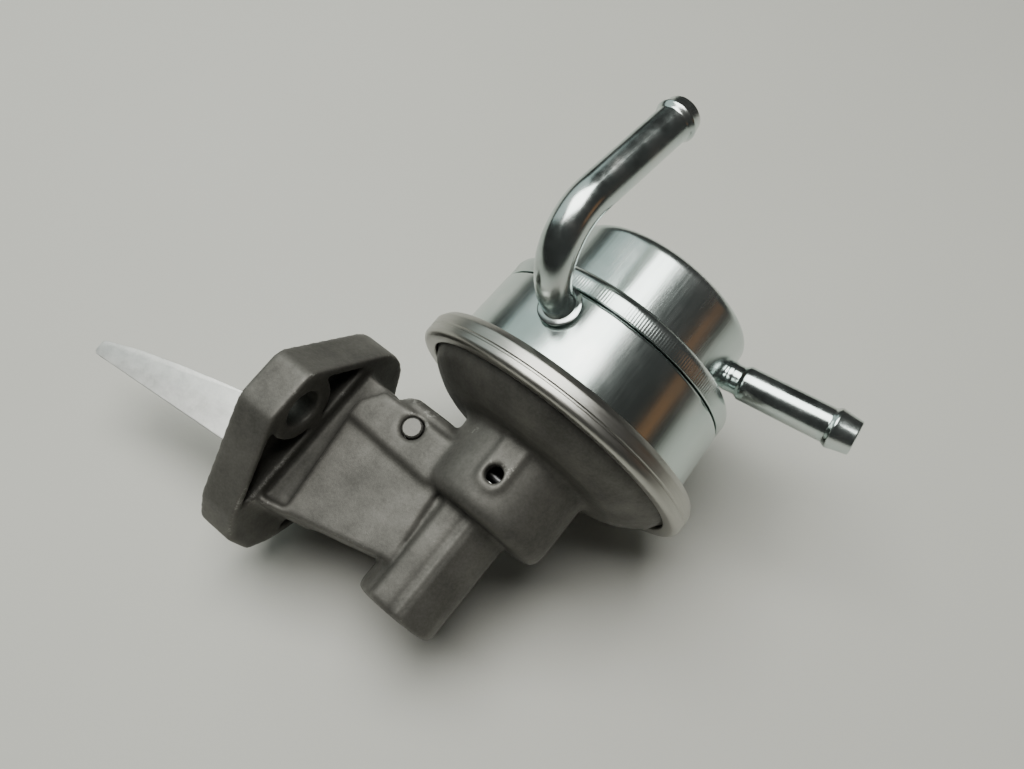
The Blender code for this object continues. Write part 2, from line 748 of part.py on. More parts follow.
def build_pull_rod(rivet_low):
    head_top = FORK_BOTTOM - CLEARANCE
    head_bottom = head_top - ROD_HEAD_LENGTH
    profile = [
        (0.0, rivet_low + RIVET_HEIGHT),
        (RIVET_RADIUS - RIVET_HEIGHT / 2, rivet_low + RIVET_HEIGHT),
        (RIVET_RADIUS, rivet_low + RIVET_HEIGHT / 2),
        (RIVET_RADIUS, rivet_low),
        (ROD_RADIUS, rivet_low),
        (ROD_RADIUS, head_top),
        (ROD_HEAD_RADIUS, head_top),
        (ROD_HEAD_RADIUS, head_bottom + ROD_HEAD_LENGTH / 4),
        (ROD_HEAD_RADIUS - ROD_HEAD_LENGTH / 4, head_bottom),
        (0.0, head_bottom),
    ]
    turned("pull_rod", profile, can_axis(), machined_steel, SMALL_STEPS)


def build_seal():
    seat = WELL_FLOOR + CLEARANCE
    bore = ROD_RADIUS + CLEARANCE
    seal_top = seat + SEAL_HEIGHT
    seal = [
        (bore, seal_top - CLEARANCE),
        (SEAL_RADIUS - CLEARANCE, seal_top - CLEARANCE),
        (SEAL_RADIUS, seal_top - 2 * CLEARANCE),
        (SEAL_RADIUS, seat),
        (bore + CLEARANCE, seat),
        (bore, seat + SEAL_HEIGHT / 2),
    ]
    turned("oil_seal", seal, can_axis(), seal_rubber, SMALL_STEPS)
    inner = SEAL_RADIUS + CLEARANCE
    outer = inner + RETAINER_SHEET
    retainer = [
        (bore + CLEARANCE, seal_top + RETAINER_SHEET),
        (outer, seal_top + RETAINER_SHEET),
        (outer, seat + RETAINER_SHEET),
        (WELL_RADIUS - RUNNING_GAP, seat + RETAINER_SHEET),
        (WELL_RADIUS - RUNNING_GAP, seat),
        (inner, seat),
        (inner, seal_top),
        (bore + CLEARANCE, seal_top),
    ]
    turned("spring_retainer", retainer, can_axis(), pressed_steel, ROUND_STEPS)
    return seat + RETAINER_SHEET


def build_springs(retainer_top, plate_bottom):
    coil(
        "diaphragm_spring",
        DIAPHRAGM_SPRING_RADIUS,
        DIAPHRAGM_WIRE_RADIUS,
        DIAPHRAGM_SPRING_TURNS,
        RIM_Y + retainer_top + CLEARANCE,
        RIM_Y + plate_bottom - CLEARANCE,
        CAN_X,
        spring_steel,
    )
    coil(
        "arm_return_spring",
        ARM_SPRING_RADIUS,
        ARM_WIRE_RADIUS,
        ARM_SPRING_TURNS,
        RIM_Y + SPRING_BOSS_BOTTOM + WALL + CLEARANCE,
        RIM_Y + FORK_BOTTOM - CLEARANCE,
        CAN_X + SPRING_BOSS_X,
        spring_steel,
    )


def pivot_frame():
    return Matrix.Translation((PIVOT_X, 0.0, 0.0))


def build_pivot_pin():
    pin = cylinder("pivot_pin", PIN_RADIUS, 2 * CHEEK_HALF_WIDTH, pivot_frame(), SMALL_STEPS, machined_steel)
    add_bevel(pin, CLEARANCE)
    shade_smooth(pin)


def arm_outline():
    """The lever seen along the pivot pin, from the tip over the hub to the fork and back underneath."""
    pad_y = RIM_Y + FORK_BOTTOM
    roof = CAVITY_ROOF - FORK_TOP_DROP
    reach = PIVOT_X - ARM_TIP_X
    upper = [(PIVOT_X - reach * along, ARM_TIP_TOP * drop) for along, drop in ARM_UPPER_SHARES]
    lower = [(PIVOT_X - reach * along, ARM_TIP_BOTTOM * drop) for along, drop in ARM_LOWER_SHARES]
    tip = [(ARM_TIP_X, ARM_TIP_BOTTOM, ARM_TIP_ROUND), (ARM_TIP_X, ARM_TIP_TOP, ARM_TIP_ROUND)]
    corners = [*tip, *[(*spot, 0.0) for spot in upper]]
    angles = [math.radians(angle) for angle in PAD_ANGLES]
    return [
        *rounded(corners),
        *arc((PIVOT_X, 0.0), HUB_RADIUS, 130, -10, 8),
        (PIVOT_X + FORK_HEEL, roof),
        (CAN_X + ROD_RADIUS, roof),
        (CAN_X + FORK_NOSE, pad_y + PAD_RADIUS / 4),
        *[(CAN_X + PAD_RADIUS * math.sin(t), pad_y + PAD_RADIUS * (1 - math.cos(t))) for t in angles],
        (PIVOT_X + FORK_THROAT, pad_y + PAD_RADIUS / 2),
        *lower,
    ]


def build_rocker_arm():
    outline = arm_outline()
    arm = slab("rocker_arm", outline, ARM_HALF_THICKNESS, material=machined_steel)
    add_bevel(arm, ARM_EDGE_ROUND, angle=math.radians(60))
    hub_and_fork = [spot for spot in outline if spot[0] > PIVOT_X - FORK_START]
    fork = slab("fork_block", hub_and_fork, FORK_HALF_WIDTH)
    join(arm, as_cutter(fork))
    slot = box(
        "fork_slot",
        (CAN_X - FORK_SLOT_LENGTH, RIM_Y + FORK_BOTTOM - OVERSHOOT, -FORK_SLOT_HALF_WIDTH),
        (CAN_X + FORK_SLOT_LENGTH, 0.0, FORK_SLOT_HALF_WIDTH),
    )
    hole_depth = 2 * FORK_HALF_WIDTH + 2 * OVERSHOOT
    hole = cylinder("arm_pin_hole", PIN_RADIUS + CLEARANCE, hole_depth, pivot_frame(), SMALL_STEPS)
    cut(arm, as_cutter(slot), as_cutter(hole))
    arm.data.transform(pivot_frame().inverted())
    arm.matrix_world = pivot_frame()


def flange_outline():
    side = [
        (CROWN_HALF_WIDTH, FLANGE_TOP, CROWN_ROUND),
        (FLANGE_HALF_SPAN, BOLT_HEIGHT + LOBE_UP, LOBE_ROUND),
        (FLANGE_HALF_SPAN, BOLT_HEIGHT - LOBE_DOWN, LOBE_ROUND),
        (FOOT_HALF_WIDTH, FLANGE_BOTTOM + FOOT_RISE, FOOT_ROUND),
        (TOE_HALF_WIDTH, FLANGE_BOTTOM, FOOT_ROUND),
    ]
    other_side = [(-across, up, radius) for across, up, radius in reversed(side)]
    return rounded(side + other_side)


def flange_frame(x):
    return Matrix.Translation((x, 0.0, 0.0)) @ Matrix.Rotation(math.pi / 2, 4, "Y")


def neck_outline():
    """The narrow part of the housing, next to the flange."""
    return [
        (FLANGE_THICKNESS - OVERSHOOT, NECK_TOP_Y),
        (NECK_END, NECK_TOP_Y),
        (NECK_END, NECK_BOTTOM_Y + NECK_RISE),
        (FLANGE_THICKNESS - OVERSHOOT, NECK_BOTTOM_Y),
    ]


def housing_outline():
    """The block of the housing, with the rib along its top."""
    return [
        (HOUSING_LEFT, HOUSING_CORNER),
        (HOUSING_SHOULDER, CHEEK_TOP),
        (RIB_START - GROOVE_WIDTH, CHEEK_TOP),
        (RIB_START, RIB_TOP),
        (RIB_END, RIB_TOP - RIB_FALL),
        (CAN_X - HOUSING_BACK, CHEEK_BOTTOM),
        (CAN_X - HOUSING_DEEP, HOUSING_DEEP_Y),
        (HOUSING_LEFT + HOUSING_LEAN, HOUSING_BOTTOM),
        (HOUSING_LEFT, CHEEK_BOTTOM),
    ]


def crown_outline():
    """The rounded roof over the hub of the arm."""
    return [
        (HOUSING_SHOULDER + OVERSHOOT, CHEEK_BOTTOM),
        (HOUSING_SHOULDER + OVERSHOOT, CHEEK_TOP),
        (RIB_START - OVERSHOOT, RIB_TOP),
        (RIB_START, HOUSING_CROWN_TOP),
        (RIB_END - OVERSHOOT, HOUSING_CROWN_TOP),
        (RIB_END + GROOVE_WIDTH, RIB_TOP - RIB_FALL),
        (CHEEK_END, CHEEK_BOTTOM),
    ]


def web_outline():
    """The web that closes the neck's side pockets from below."""
    return [
        (WEB_LEFT, NECK_BOTTOM_Y + WEB_THICKNESS / 2),
        (HOUSING_SHOULDER, NECK_BOTTOM_Y + WEB_THICKNESS / 2 + WEB_RISE),
        (HOUSING_SHOULDER, NECK_BOTTOM_Y - WEB_THICKNESS / 2 + WEB_RISE),
        (WEB_LEFT, NECK_BOTTOM_Y - WEB_THICKNESS / 2),
    ]


def cheek_outline():
    """The raised face around the end of the pivot pin."""
    return [
        (HOUSING_LEFT, HOUSING_CORNER),
        (HOUSING_SHOULDER, CHEEK_TOP),
        (CHEEK_END, CHEEK_TOP),
        (CHEEK_END, CHEEK_BOTTOM - CHEEK_FALL),
        (HOUSING_LEFT, CHEEK_BOTTOM),
    ]


def cavity_outline():
    """The space around the hub and the fork."""
    roof = HUB_RADIUS + RUNNING_GAP
    return [
        (CAVITY_STEP, 0.0),
        (PIVOT_X - roof, roof - RUNNING_GAP * 2),
        (PIVOT_X - roof / 2, roof),
        (PIVOT_X + roof / 2, roof),
        (PIVOT_X + roof, roof / 2),
        (PIVOT_X + roof, CAVITY_ROOF),
        (CAN_X + SPRING_BOSS_X, CAVITY_ROOF),
        (CAN_X + SPRING_BOSS_X, CAVITY_DEEP_Y + RUNNING_GAP * 3),
        (CAN_X - CAVITY_DEEP, CAVITY_DEEP_Y),
        (CAVITY_STEP, CAVITY_ELBOW_Y),
    ]


def cavity_neck_outline():
    """The narrower space in the neck, through which the lever passes."""
    return [
        (-OVERSHOOT, OPENING_TOP + RUNNING_GAP),
        (FLANGE_THICKNESS, CAVITY_BROW),
        (CAVITY_STEP + OVERSHOOT / 2, -RUNNING_GAP),
        (CAVITY_STEP + OVERSHOOT / 2, CAVITY_ELBOW_Y + RUNNING_GAP),
        (CAVITY_ELBOW, CAVITY_ELBOW_Y),
        (-OVERSHOOT, CAVITY_SILL),
    ]


def opening_outline():
    return rounded(
        [
            (-OPENING_HALF_WIDTH, OPENING_BOTTOM, OPENING_ROUND),
            (-OPENING_HALF_WIDTH, OPENING_TOP, OPENING_ROUND),
            (OPENING_HALF_WIDTH, OPENING_TOP, OPENING_ROUND),
            (OPENING_HALF_WIDTH, OPENING_BOTTOM, OPENING_ROUND),
        ]
    )


def hollow_outline(side, upper):
    """A hollow in the back of the flange, above or below a bolt boss."""
    centre = (BOLT_HALF_SPACING, BOLT_HEIGHT)
    if upper:
        shoulder = (BOLT_HALF_SPACING + HOLLOW_UPPER_REACH, BOLT_HEIGHT + HOLLOW_SHOULDER)
        edge = [(HOLLOW_NEAR, HOLLOW_TOP), shoulder]
        bend = arc(centre, BOLT_BOSS_RADIUS, 80, 165, 5)
    else:
        elbow = (BOLT_HALF_SPACING + HOLLOW_LOWER_REACH, BOLT_HEIGHT - HOLLOW_ELBOW)
        edge = [(HOLLOW_NEAR, FLANGE_BOTTOM + HOLLOW_FOOT), elbow]
        bend = arc(centre, BOLT_BOSS_RADIUS, 290, 195, 5)
    corners = [*edge, *bend, (HOLLOW_NEAR, bend[-1][1])]
    return [(side * across, up) for across, up in corners]


def body_profile():
    inner = BOSS_RADIUS + CUP_FILLET
    span = CUP_RADIUS - inner
    drop = RIM_BOTTOM + CUP_DEPTH
    return [
        (0.0, RIM_TOP),
        (STACK_RADIUS, RIM_TOP),
        (STACK_RADIUS, RIM_BOTTOM),
        (RING_RADIUS - LIP_REACH - RUNNING_GAP, RIM_BOTTOM),
        *[(inner + span * across, RIM_BOTTOM - drop * down) for across, down in CUP_SHARES],
        (inner, -CUP_DEPTH),
        *arc((inner, -CUP_DEPTH - CUP_FILLET), CUP_FILLET, 90, 180, 3)[1:],
        *arc((BOSS_RADIUS - BOSS_ROUND, BOSS_TIP + BOSS_ROUND), BOSS_ROUND, 0, -90, 3),
        (0.0, BOSS_TIP),
    ]


def well_profile():
    floor = -CUP_DEPTH + WALL + CLEARANCE
    outer = CUP_RADIUS - WALL
    span = outer - WELL_RADIUS
    depth = RIM_BOTTOM - floor
    return [
        (0.0, RIM_TOP + OVERSHOOT),
        (outer + WELL_ROUND, RIM_TOP + OVERSHOOT),
        (outer + WELL_ROUND, RIM_TOP),
        *[(WELL_RADIUS + span * across, RIM_BOTTOM - depth * down) for across, down in WELL_SHARES],
        (WELL_RADIUS + WELL_ROUND, floor),
        (WELL_RADIUS, floor - WELL_ROUND),
        (WELL_RADIUS, WELL_FLOOR),
        (0.0, WELL_FLOOR),
    ]


def spring_boss_pieces():
    """The boss of the return spring, with its flat strip and its ridges."""
    boss_top = BOSS_TIP + BOSS_ROUND + OVERSHOOT
    low_round = SPRING_BOSS_ROUND * ROUND_SHARE
    profile = [
        (0.0, boss_top),
        (SPRING_BOSS_RADIUS, boss_top),
        (SPRING_BOSS_RADIUS, SPRING_BOSS_BOTTOM + SPRING_BOSS_ROUND),
        (SPRING_BOSS_RADIUS - low_round, SPRING_BOSS_BOTTOM + low_round),
        (SPRING_BOSS_RADIUS - SPRING_BOSS_ROUND, SPRING_BOSS_BOTTOM),
        (0.0, SPRING_BOSS_BOTTOM),
    ]
    pieces = [turned("spring_boss", profile, can_axis(0.0, SPRING_BOSS_X), None, ROUND_STEPS)]
    raised = [("boss_strip", STRIP_X, STRIP_WIDTH, STRIP_REACH)]
    for index in range(2):
        near = RIDGE_X + RIDGE_PITCH * index
        raised.append((f"boss_ridge_{index}", near, RIDGE_WIDTH, RIDGE_REACH - RIDGE_DROP * index))
    for name, near, width, reach in raised:
        low = (CAN_X + near, RIM_Y + STRIP_BOTTOM, SPRING_BOSS_RADIUS - WALL)
        high = (CAN_X + near + width, RIM_Y + boss_top, reach)
        pieces.append(box(name, low, high))
    return pieces


def vent_pad():
    left = CAN_X + VENT_OFFSET - VENT_PAD_HALF_WIDTH
    right = CAN_X + VENT_OFFSET + VENT_PAD_HALF_WIDTH
    foot = RIM_Y + VENT_HEIGHT - VENT_PAD_DROP
    outline = rounded(
        [
            (left, RIM_Y - CUP_DEPTH, 0.0),
            (right, RIM_Y - CUP_DEPTH, 0.0),
            (right, foot, VENT_PAD_HALF_WIDTH - RUNNING_GAP),
            (left, foot, VENT_PAD_HALF_WIDTH - RUNNING_GAP),
        ]
    )
    middle = BOSS_RADIUS + VENT_PAD_RISE - BOSS_WALL / 2
    return slab("vent_pad", outline, BOSS_WALL / 2, Matrix.Translation((0.0, 0.0, middle)))


def build_lower_body():
    body = turned("lower_body", body_profile(), can_axis(), cast_aluminium)
    flange_middle = flange_frame(FLANGE_THICKNESS / 2)
    flange_half = FLANGE_THICKNESS / 2
    pieces = [
        slab("flange_plate", flange_outline(), flange_half, flange_middle, edge_round=FLANGE_EDGE_ROUND),
        slab("housing_neck", neck_outline(), NECK_HALF_WIDTH),
        slab("housing_block", housing_outline(), HOUSING_HALF_WIDTH),
        slab("housing_cheeks", cheek_outline(), CHEEK_HALF_WIDTH),
        slab("housing_crown", crown_outline(), HOUSING_CROWN_HALF_WIDTH, edge_round=HOUSING_CROWN_ROUND),
        slab("housing_web", web_outline(), HOUSING_HALF_WIDTH),
        *spring_boss_pieces(),
        vent_pad(),
    ]
    join(body, *[as_cutter(piece) for piece in pieces])
    cut(body, *[as_cutter(piece) for piece in body_cutters()])


def groove_cutters():
    """The grooves between the cheeks and the rib along the housing's top."""
    made = []
    for side in (-1, 1):
        near = HOUSING_HALF_WIDTH - GROOVE_DEPTH
        depths = sorted((side * near, side * (CHEEK_HALF_WIDTH + OVERSHOOT)))
        low = (RIB_START - GROOVE_WIDTH, CHEEK_TOP, depths[0])
        high = (RIB_END, CHEEK_TOP + GROOVE_WIDTH, depths[1])
        made.append(box(f"rib_groove_{side}", low, high))
    return made


def flange_cutters():
    """The bolt holes and the hollows in the back of the flange."""
    made = []
    for side in (-1, 1):
        shift = Matrix.Translation((0.0, BOLT_HEIGHT, side * BOLT_HALF_SPACING))
        frame = shift @ flange_frame(FLANGE_THICKNESS / 2)
        depth = FLANGE_THICKNESS + 2 * OVERSHOOT
        made.append(cylinder(f"bolt_hole_{side}", BOLT_HOLE_RADIUS, depth, frame, SMALL_STEPS))
        for upper in (True, False):
            name = f"flange_hollow_{side}_{upper}"
            outline = hollow_outline(side, upper)
            middle = flange_frame(FLANGE_THICKNESS + CLEARANCE - HOLLOW_DEPTH / 2)
            made.append(slab(name, outline, HOLLOW_DEPTH / 2 + CLEARANCE, middle))
    return made


def body_cutters():
    """Everything that is hollow in the casting."""
    pocket_radius = ARM_SPRING_RADIUS + RUNNING_GAP
    pocket = [
        (0.0, CAVITY_ROOF - RIM_Y),
        (pocket_radius, CAVITY_ROOF - RIM_Y),
        (pocket_radius, SPRING_BOSS_BOTTOM + WALL),
        (0.0, SPRING_BOSS_BOTTOM + WALL),
    ]
    opening_frame = flange_frame(FLANGE_THICKNESS / 2 - OVERSHOOT)
    pin_hole_depth = 2 * CHEEK_HALF_WIDTH + 2 * OVERSHOOT
    vent_depth = 2 * BOSS_WALL + OVERSHOOT
    vent_frame = Matrix.Translation((CAN_X + VENT_OFFSET, RIM_Y + VENT_HEIGHT, BOSS_RADIUS))
    notch_top = RIM_Y - CUP_DEPTH - CUP_FILLET
    notch_x = CAN_X + VENT_OFFSET
    notch_low = (notch_x, notch_top - VENT_NOTCH_WIDTH, BOSS_RADIUS + VENT_PAD_RISE - VENT_NOTCH_DEPTH)
    notch_high = (notch_x + VENT_NOTCH_WIDTH, notch_top, BOSS_RADIUS + OVERSHOOT)
    return [
        turned("well_space", well_profile(), can_axis(), None, ROUND_STEPS),
        slab("rocker_cavity", cavity_outline(), CAVITY_HALF_WIDTH),
        slab("neck_cavity", cavity_neck_outline(), CAVITY_NECK_HALF_WIDTH),
        turned("spring_pocket", pocket, can_axis(0.0, SPRING_BOSS_X), None, ROUND_STEPS),
        slab("arm_opening", opening_outline(), FLANGE_THICKNESS / 2, opening_frame),
        cylinder("rod_hole", ROD_RADIUS + RUNNING_GAP, ROD_HOLE_DEPTH, can_axis(WELL_FLOOR), SMALL_STEPS),
        cylinder("body_pin_hole", PIN_RADIUS + CLEARANCE, pin_hole_depth, pivot_frame(), SMALL_STEPS),
        cylinder("vent_hole", VENT_RADIUS, vent_depth, vent_frame, SMALL_STEPS),
        box("vent_notch", notch_low, notch_high),
        *groove_cutters(),
        *flange_cutters(),
    ]


def inlet_direction():
    return Vector(
        (
            math.cos(INLET_PITCH) * math.cos(INLET_YAW),
            math.sin(INLET_PITCH),
            math.cos(INLET_PITCH) * math.sin(INLET_YAW),
        )
    )


def inlet_frame():
    """The frame at the root of the straight pipe, with local Z along it."""
    root = Vector((CAN_X + UPPER_RADIUS, RIM_Y + INLET_HEIGHT, 0.0))
    turn = inlet_direction().to_track_quat("Z", "Y").to_matrix().to_4x4()
    return Matrix.Translation(root) @ turn


def bead_points(middle):
    """The outer side of a bead, from far to near."""
    half = BEAD_WIDTH / 2
    rise = BEAD_RADIUS - PIPE_RADIUS
    return [
        (PIPE_RADIUS, middle + half),
        (PIPE_RADIUS + rise * BEAD_SHARE, middle + half * BEAD_SHARE / 2),
        (BEAD_RADIUS, middle),
        (PIPE_RADIUS + rise * BEAD_SHARE, middle - half * BEAD_SHARE / 2),
        (PIPE_RADIUS, middle - half),
    ]


def build_inlet_pipe():
    bore = PIPE_RADIUS - PIPE_WALL
    bead = INLET_LENGTH - NOSE_LENGTH
    profile = [
        (bore, INLET_LENGTH),
        (NOSE_RADIUS - CLEARANCE, INLET_LENGTH),
        (NOSE_RADIUS, INLET_LENGTH - CLEARANCE),
        *bead_points(bead),
        (PIPE_RADIUS, COLLAR_STANDOFF + COLLAR_WIDTH),
        (COLLAR_RADIUS - CLEARANCE, COLLAR_STANDOFF + COLLAR_WIDTH),
        (COLLAR_RADIUS, COLLAR_STANDOFF + COLLAR_WIDTH / 2),
        (COLLAR_RADIUS, COLLAR_STANDOFF),
        (PIPE_RADIUS, COLLAR_STANDOFF),
        (PIPE_RADIUS, -PIPE_INSERT - CAN_SHEET),
        (bore, -PIPE_INSERT - CAN_SHEET),
    ]
    turned("inlet_pipe", profile, inlet_frame(), zinc_plate, SMALL_STEPS)


def outlet_radial():
    return Vector((-math.sin(OUTLET_AZIMUTH), 0.0, math.cos(OUTLET_AZIMUTH)))


def outlet_root():
    return Vector((CAN_X, RIM_Y + OUTLET_HEIGHT, 0.0)) + outlet_radial() * MIDDLE_TOP_RADIUS


def outlet_run_direction():
    flat = math.cos(OUTLET_PITCH)
    return Vector((flat * math.sin(OUTLET_YAW), flat * math.cos(OUTLET_YAW), -math.sin(OUTLET_PITCH)))


def outlet_route(start_extra, end_extra):
    """Points of the bent pipe: a rise out of the can, a bend and a run."""
    rise = outlet_radial()
    run = outlet_run_direction()
    bend = rise.angle(run)
    tangent = OUTLET_BEND_RADIUS * math.tan(bend / 2)
    root = outlet_root()
    corner = root + rise * (OUTLET_RISE + tangent)
    bend_axis = rise.cross(run).normalized()
    start = corner - rise * tangent
    centre = start + bend_axis.cross(rise) * OUTLET_BEND_RADIUS
    points = [root - rise * (PIPE_INSERT + start_extra)]
    for step in range(OUTLET_STEPS + 1):
        turn = Matrix.Rotation(bend * step / OUTLET_STEPS, 3, bend_axis)
        points.append(centre + turn @ (start - centre))
    points.append(corner + run * (tangent + OUTLET_RUN + end_extra))
    return points


def ring_solid(name, radius, width, middle, direction):
    """A short solid ring for a bead or collar, joined to a pipe."""
    frame = Matrix.Translation(middle) @ direction.to_track_quat("Z", "Y").to_matrix().to_4x4()
    half = width / 2
    side = PIPE_RADIUS + (radius - PIPE_RADIUS) * BEAD_SHARE
    profile = [
        (0.0, half),
        (PIPE_RADIUS - CLEARANCE, half),
        (side, half * BEAD_SHARE / 2),
        (radius, 0.0),
        (side, -half * BEAD_SHARE / 2),
        (PIPE_RADIUS - CLEARANCE, -half),
        (0.0, -half),
    ]
    return turned(name, profile, frame, None, SMALL_STEPS)


def build_outlet_pipe():
    pipe = mesh_from_curve(tube("outlet_pipe", outlet_route(0.0, 0.0), PIPE_RADIUS, 4))
    pipe.name = "outlet_pipe"
    pipe.data.materials.append(zinc_plate)
    route = outlet_route(0.0, 0.0)
    run = outlet_run_direction()
    bead = ring_solid("outlet_bead", BEAD_RADIUS, BEAD_WIDTH, route[-1] - run * OUTLET_BEAD_BACK, run)
    collar_middle = outlet_root() + outlet_radial() * OUTLET_COLLAR_OUT
    collar = ring_solid("outlet_collar", COLLAR_RADIUS, COLLAR_WIDTH, collar_middle, outlet_radial())
    bore_route = outlet_route(OVERSHOOT, OVERSHOOT)
    bore = mesh_from_curve(tube("outlet_bore", bore_route, PIPE_RADIUS - PIPE_WALL, 2))
    join(pipe, as_cutter(bead), as_cutter(collar))
    cut(pipe, as_cutter(bore))


def outlet_clearance_cutter():
    turn = outlet_radial().to_track_quat("Z", "Y").to_matrix().to_4x4()
    frame = Matrix.Translation(outlet_root()) @ turn
    hole = cylinder("outlet_hole", PIPE_RADIUS + CLEARANCE, PIPE_HOLE_DEPTH, frame, SMALL_STEPS)
    return as_cutter(hole)


for leftover in list(bpy.data.objects):
    bpy.data.objects.remove(leftover, do_unlink=True)

pump = new_collection("mechanical_fuel_pump")
cutters = new_collection("cutters")
cutters.hide_render = True

cast_aluminium = new_material("cast_aluminium", (0.55, 0.54, 0.52), 0.55, 0.85)
machined_steel = new_material("machined_steel", (0.68, 0.67, 0.65), 0.35, 1.0)
satin_steel = new_material("satin_steel", (0.62, 0.60, 0.57), 0.38, 1.0)
zinc_plate = new_material("zinc_plate", (0.60, 0.63, 0.60), 0.22, 1.0)
pressed_steel = new_material("pressed_steel", (0.45, 0.45, 0.44), 0.40, 1.0)
spring_steel = new_material("spring_steel", (0.30, 0.30, 0.31), 0.35, 1.0)
die_cast_zinc = new_material("die_cast_zinc", (0.50, 0.50, 0.50), 0.50, 0.9)
brass = new_material("brass", (0.75, 0.58, 0.28), 0.35, 1.0)
seal_rubber = new_material("seal_rubber", (0.03, 0.03, 0.03), 0.70, 0.0)

build_lower_body()
build_pivot_pin()
build_rocker_arm()
build_crimp_ring()
build_middle_can()
build_upper_can()
build_partition()
build_valve_body()
build_valve("inlet", 0.0, VALVE_PLATE_TOP - VALVE_PLATE_THICKNESS, -1)
build_valve("outlet", OUTLET_VALVE_OFFSET, VALVE_PLATE_TOP, 1)
build_diaphragm()
lower_plate_bottom, rivet_seat = build_diaphragm_plates()
build_pull_rod(rivet_seat)
retainer_seat = build_seal()
build_springs(retainer_seat, lower_plate_bottom)
build_inlet_pipe()
build_outlet_pipe()
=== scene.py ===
"""Looks of a mechanical fuel pump: finishes, fine visible shells, a plain studio and the camera.

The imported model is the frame. Plated shells, pipes, the crimp ring and the casting get finer meshes that
stand for their solids, and every other piece keeps its solid and gets a finish.
"""

import json
import logging
import math
from dataclasses import dataclass
from enum import Enum
from typing import ClassVar

import bmesh
import bpy
import numpy as np
from mathutils import Matrix, Vector


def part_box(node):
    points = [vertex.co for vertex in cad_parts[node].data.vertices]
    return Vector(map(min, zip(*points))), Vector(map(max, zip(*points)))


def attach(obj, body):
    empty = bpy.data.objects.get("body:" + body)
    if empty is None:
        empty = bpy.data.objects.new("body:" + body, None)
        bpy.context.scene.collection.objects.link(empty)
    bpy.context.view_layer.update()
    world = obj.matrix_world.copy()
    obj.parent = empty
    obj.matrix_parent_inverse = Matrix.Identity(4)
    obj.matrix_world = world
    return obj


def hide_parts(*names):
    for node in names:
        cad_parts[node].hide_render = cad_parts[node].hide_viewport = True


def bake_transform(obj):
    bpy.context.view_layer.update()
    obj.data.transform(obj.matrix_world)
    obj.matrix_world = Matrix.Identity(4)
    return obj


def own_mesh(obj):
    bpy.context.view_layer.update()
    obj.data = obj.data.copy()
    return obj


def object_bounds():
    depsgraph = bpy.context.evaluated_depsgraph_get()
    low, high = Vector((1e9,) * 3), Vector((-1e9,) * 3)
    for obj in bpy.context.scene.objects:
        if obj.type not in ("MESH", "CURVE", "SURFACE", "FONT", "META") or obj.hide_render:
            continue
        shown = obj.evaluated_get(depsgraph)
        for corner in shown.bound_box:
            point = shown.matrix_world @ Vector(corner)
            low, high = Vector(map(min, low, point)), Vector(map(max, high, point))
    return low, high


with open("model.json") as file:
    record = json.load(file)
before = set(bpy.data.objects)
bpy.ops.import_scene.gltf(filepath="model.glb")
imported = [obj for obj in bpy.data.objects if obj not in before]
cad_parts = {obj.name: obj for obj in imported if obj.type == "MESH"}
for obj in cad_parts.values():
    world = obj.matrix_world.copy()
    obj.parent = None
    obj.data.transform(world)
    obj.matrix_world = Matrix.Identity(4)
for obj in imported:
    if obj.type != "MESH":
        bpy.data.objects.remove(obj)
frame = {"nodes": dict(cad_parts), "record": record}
CAD_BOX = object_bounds()

log = logging.getLogger("fuel_pump")

Socket = bpy.types.NodeSocket
Colour = tuple[float, float, float]
Corner = tuple[float, float, float]
Corners = tuple[Corner, ...]
Profile = list[tuple[float, float]]

MILLIMETRE = 0.001
FULL_TURN = 2.0 * math.pi
ABOUT_Z = {"cent": (0.0, 0.0, 0.0), "axis": (0.0, 0.0, 1.0)}
SMOOTH_ANGLE = math.radians(32)
FLAT_ANGLE = math.radians(1)
ARC_STEP = math.radians(11)
ARC_LEAST = 3
DOUBLE = 1e-7
SOLID_DOUBLE = 2e-6
PAINTED_EDGE_HIGHLIGHT = "painted_edge_highlight"
SECTORS = 20
STEPS_PER_TOOTH = 4
RING_TEETH = 190
BAND_TEETH = 290


class Slot(Enum):
    """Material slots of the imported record."""

    CAST = "cast_aluminium"
    MACHINED = "machined_steel"
    SATIN = "satin_steel"
    PLATED = "zinc_plate"
    PRESSED = "pressed_steel"
    WIRE = "spring_steel"
    DIE_CAST = "die_cast_zinc"
    BRASS = "brass"
    RUBBER = "seal_rubber"


class Look(Enum):
    """Pieces whose look differs from the rest of their slot."""

    PIPE = "plated_pipe"
    DRAWN = "drawn_can"
    PIN_END = "pin_end"


class Grain(Enum):
    """How a surface pattern is stretched along the axes of the pump."""

    EVEN = (1.0, 1.0, 1.0)
    ALONG_CAN = (1.0, 0.06, 1.0)
    AROUND_CAN = (0.12, 1.0, 0.12)


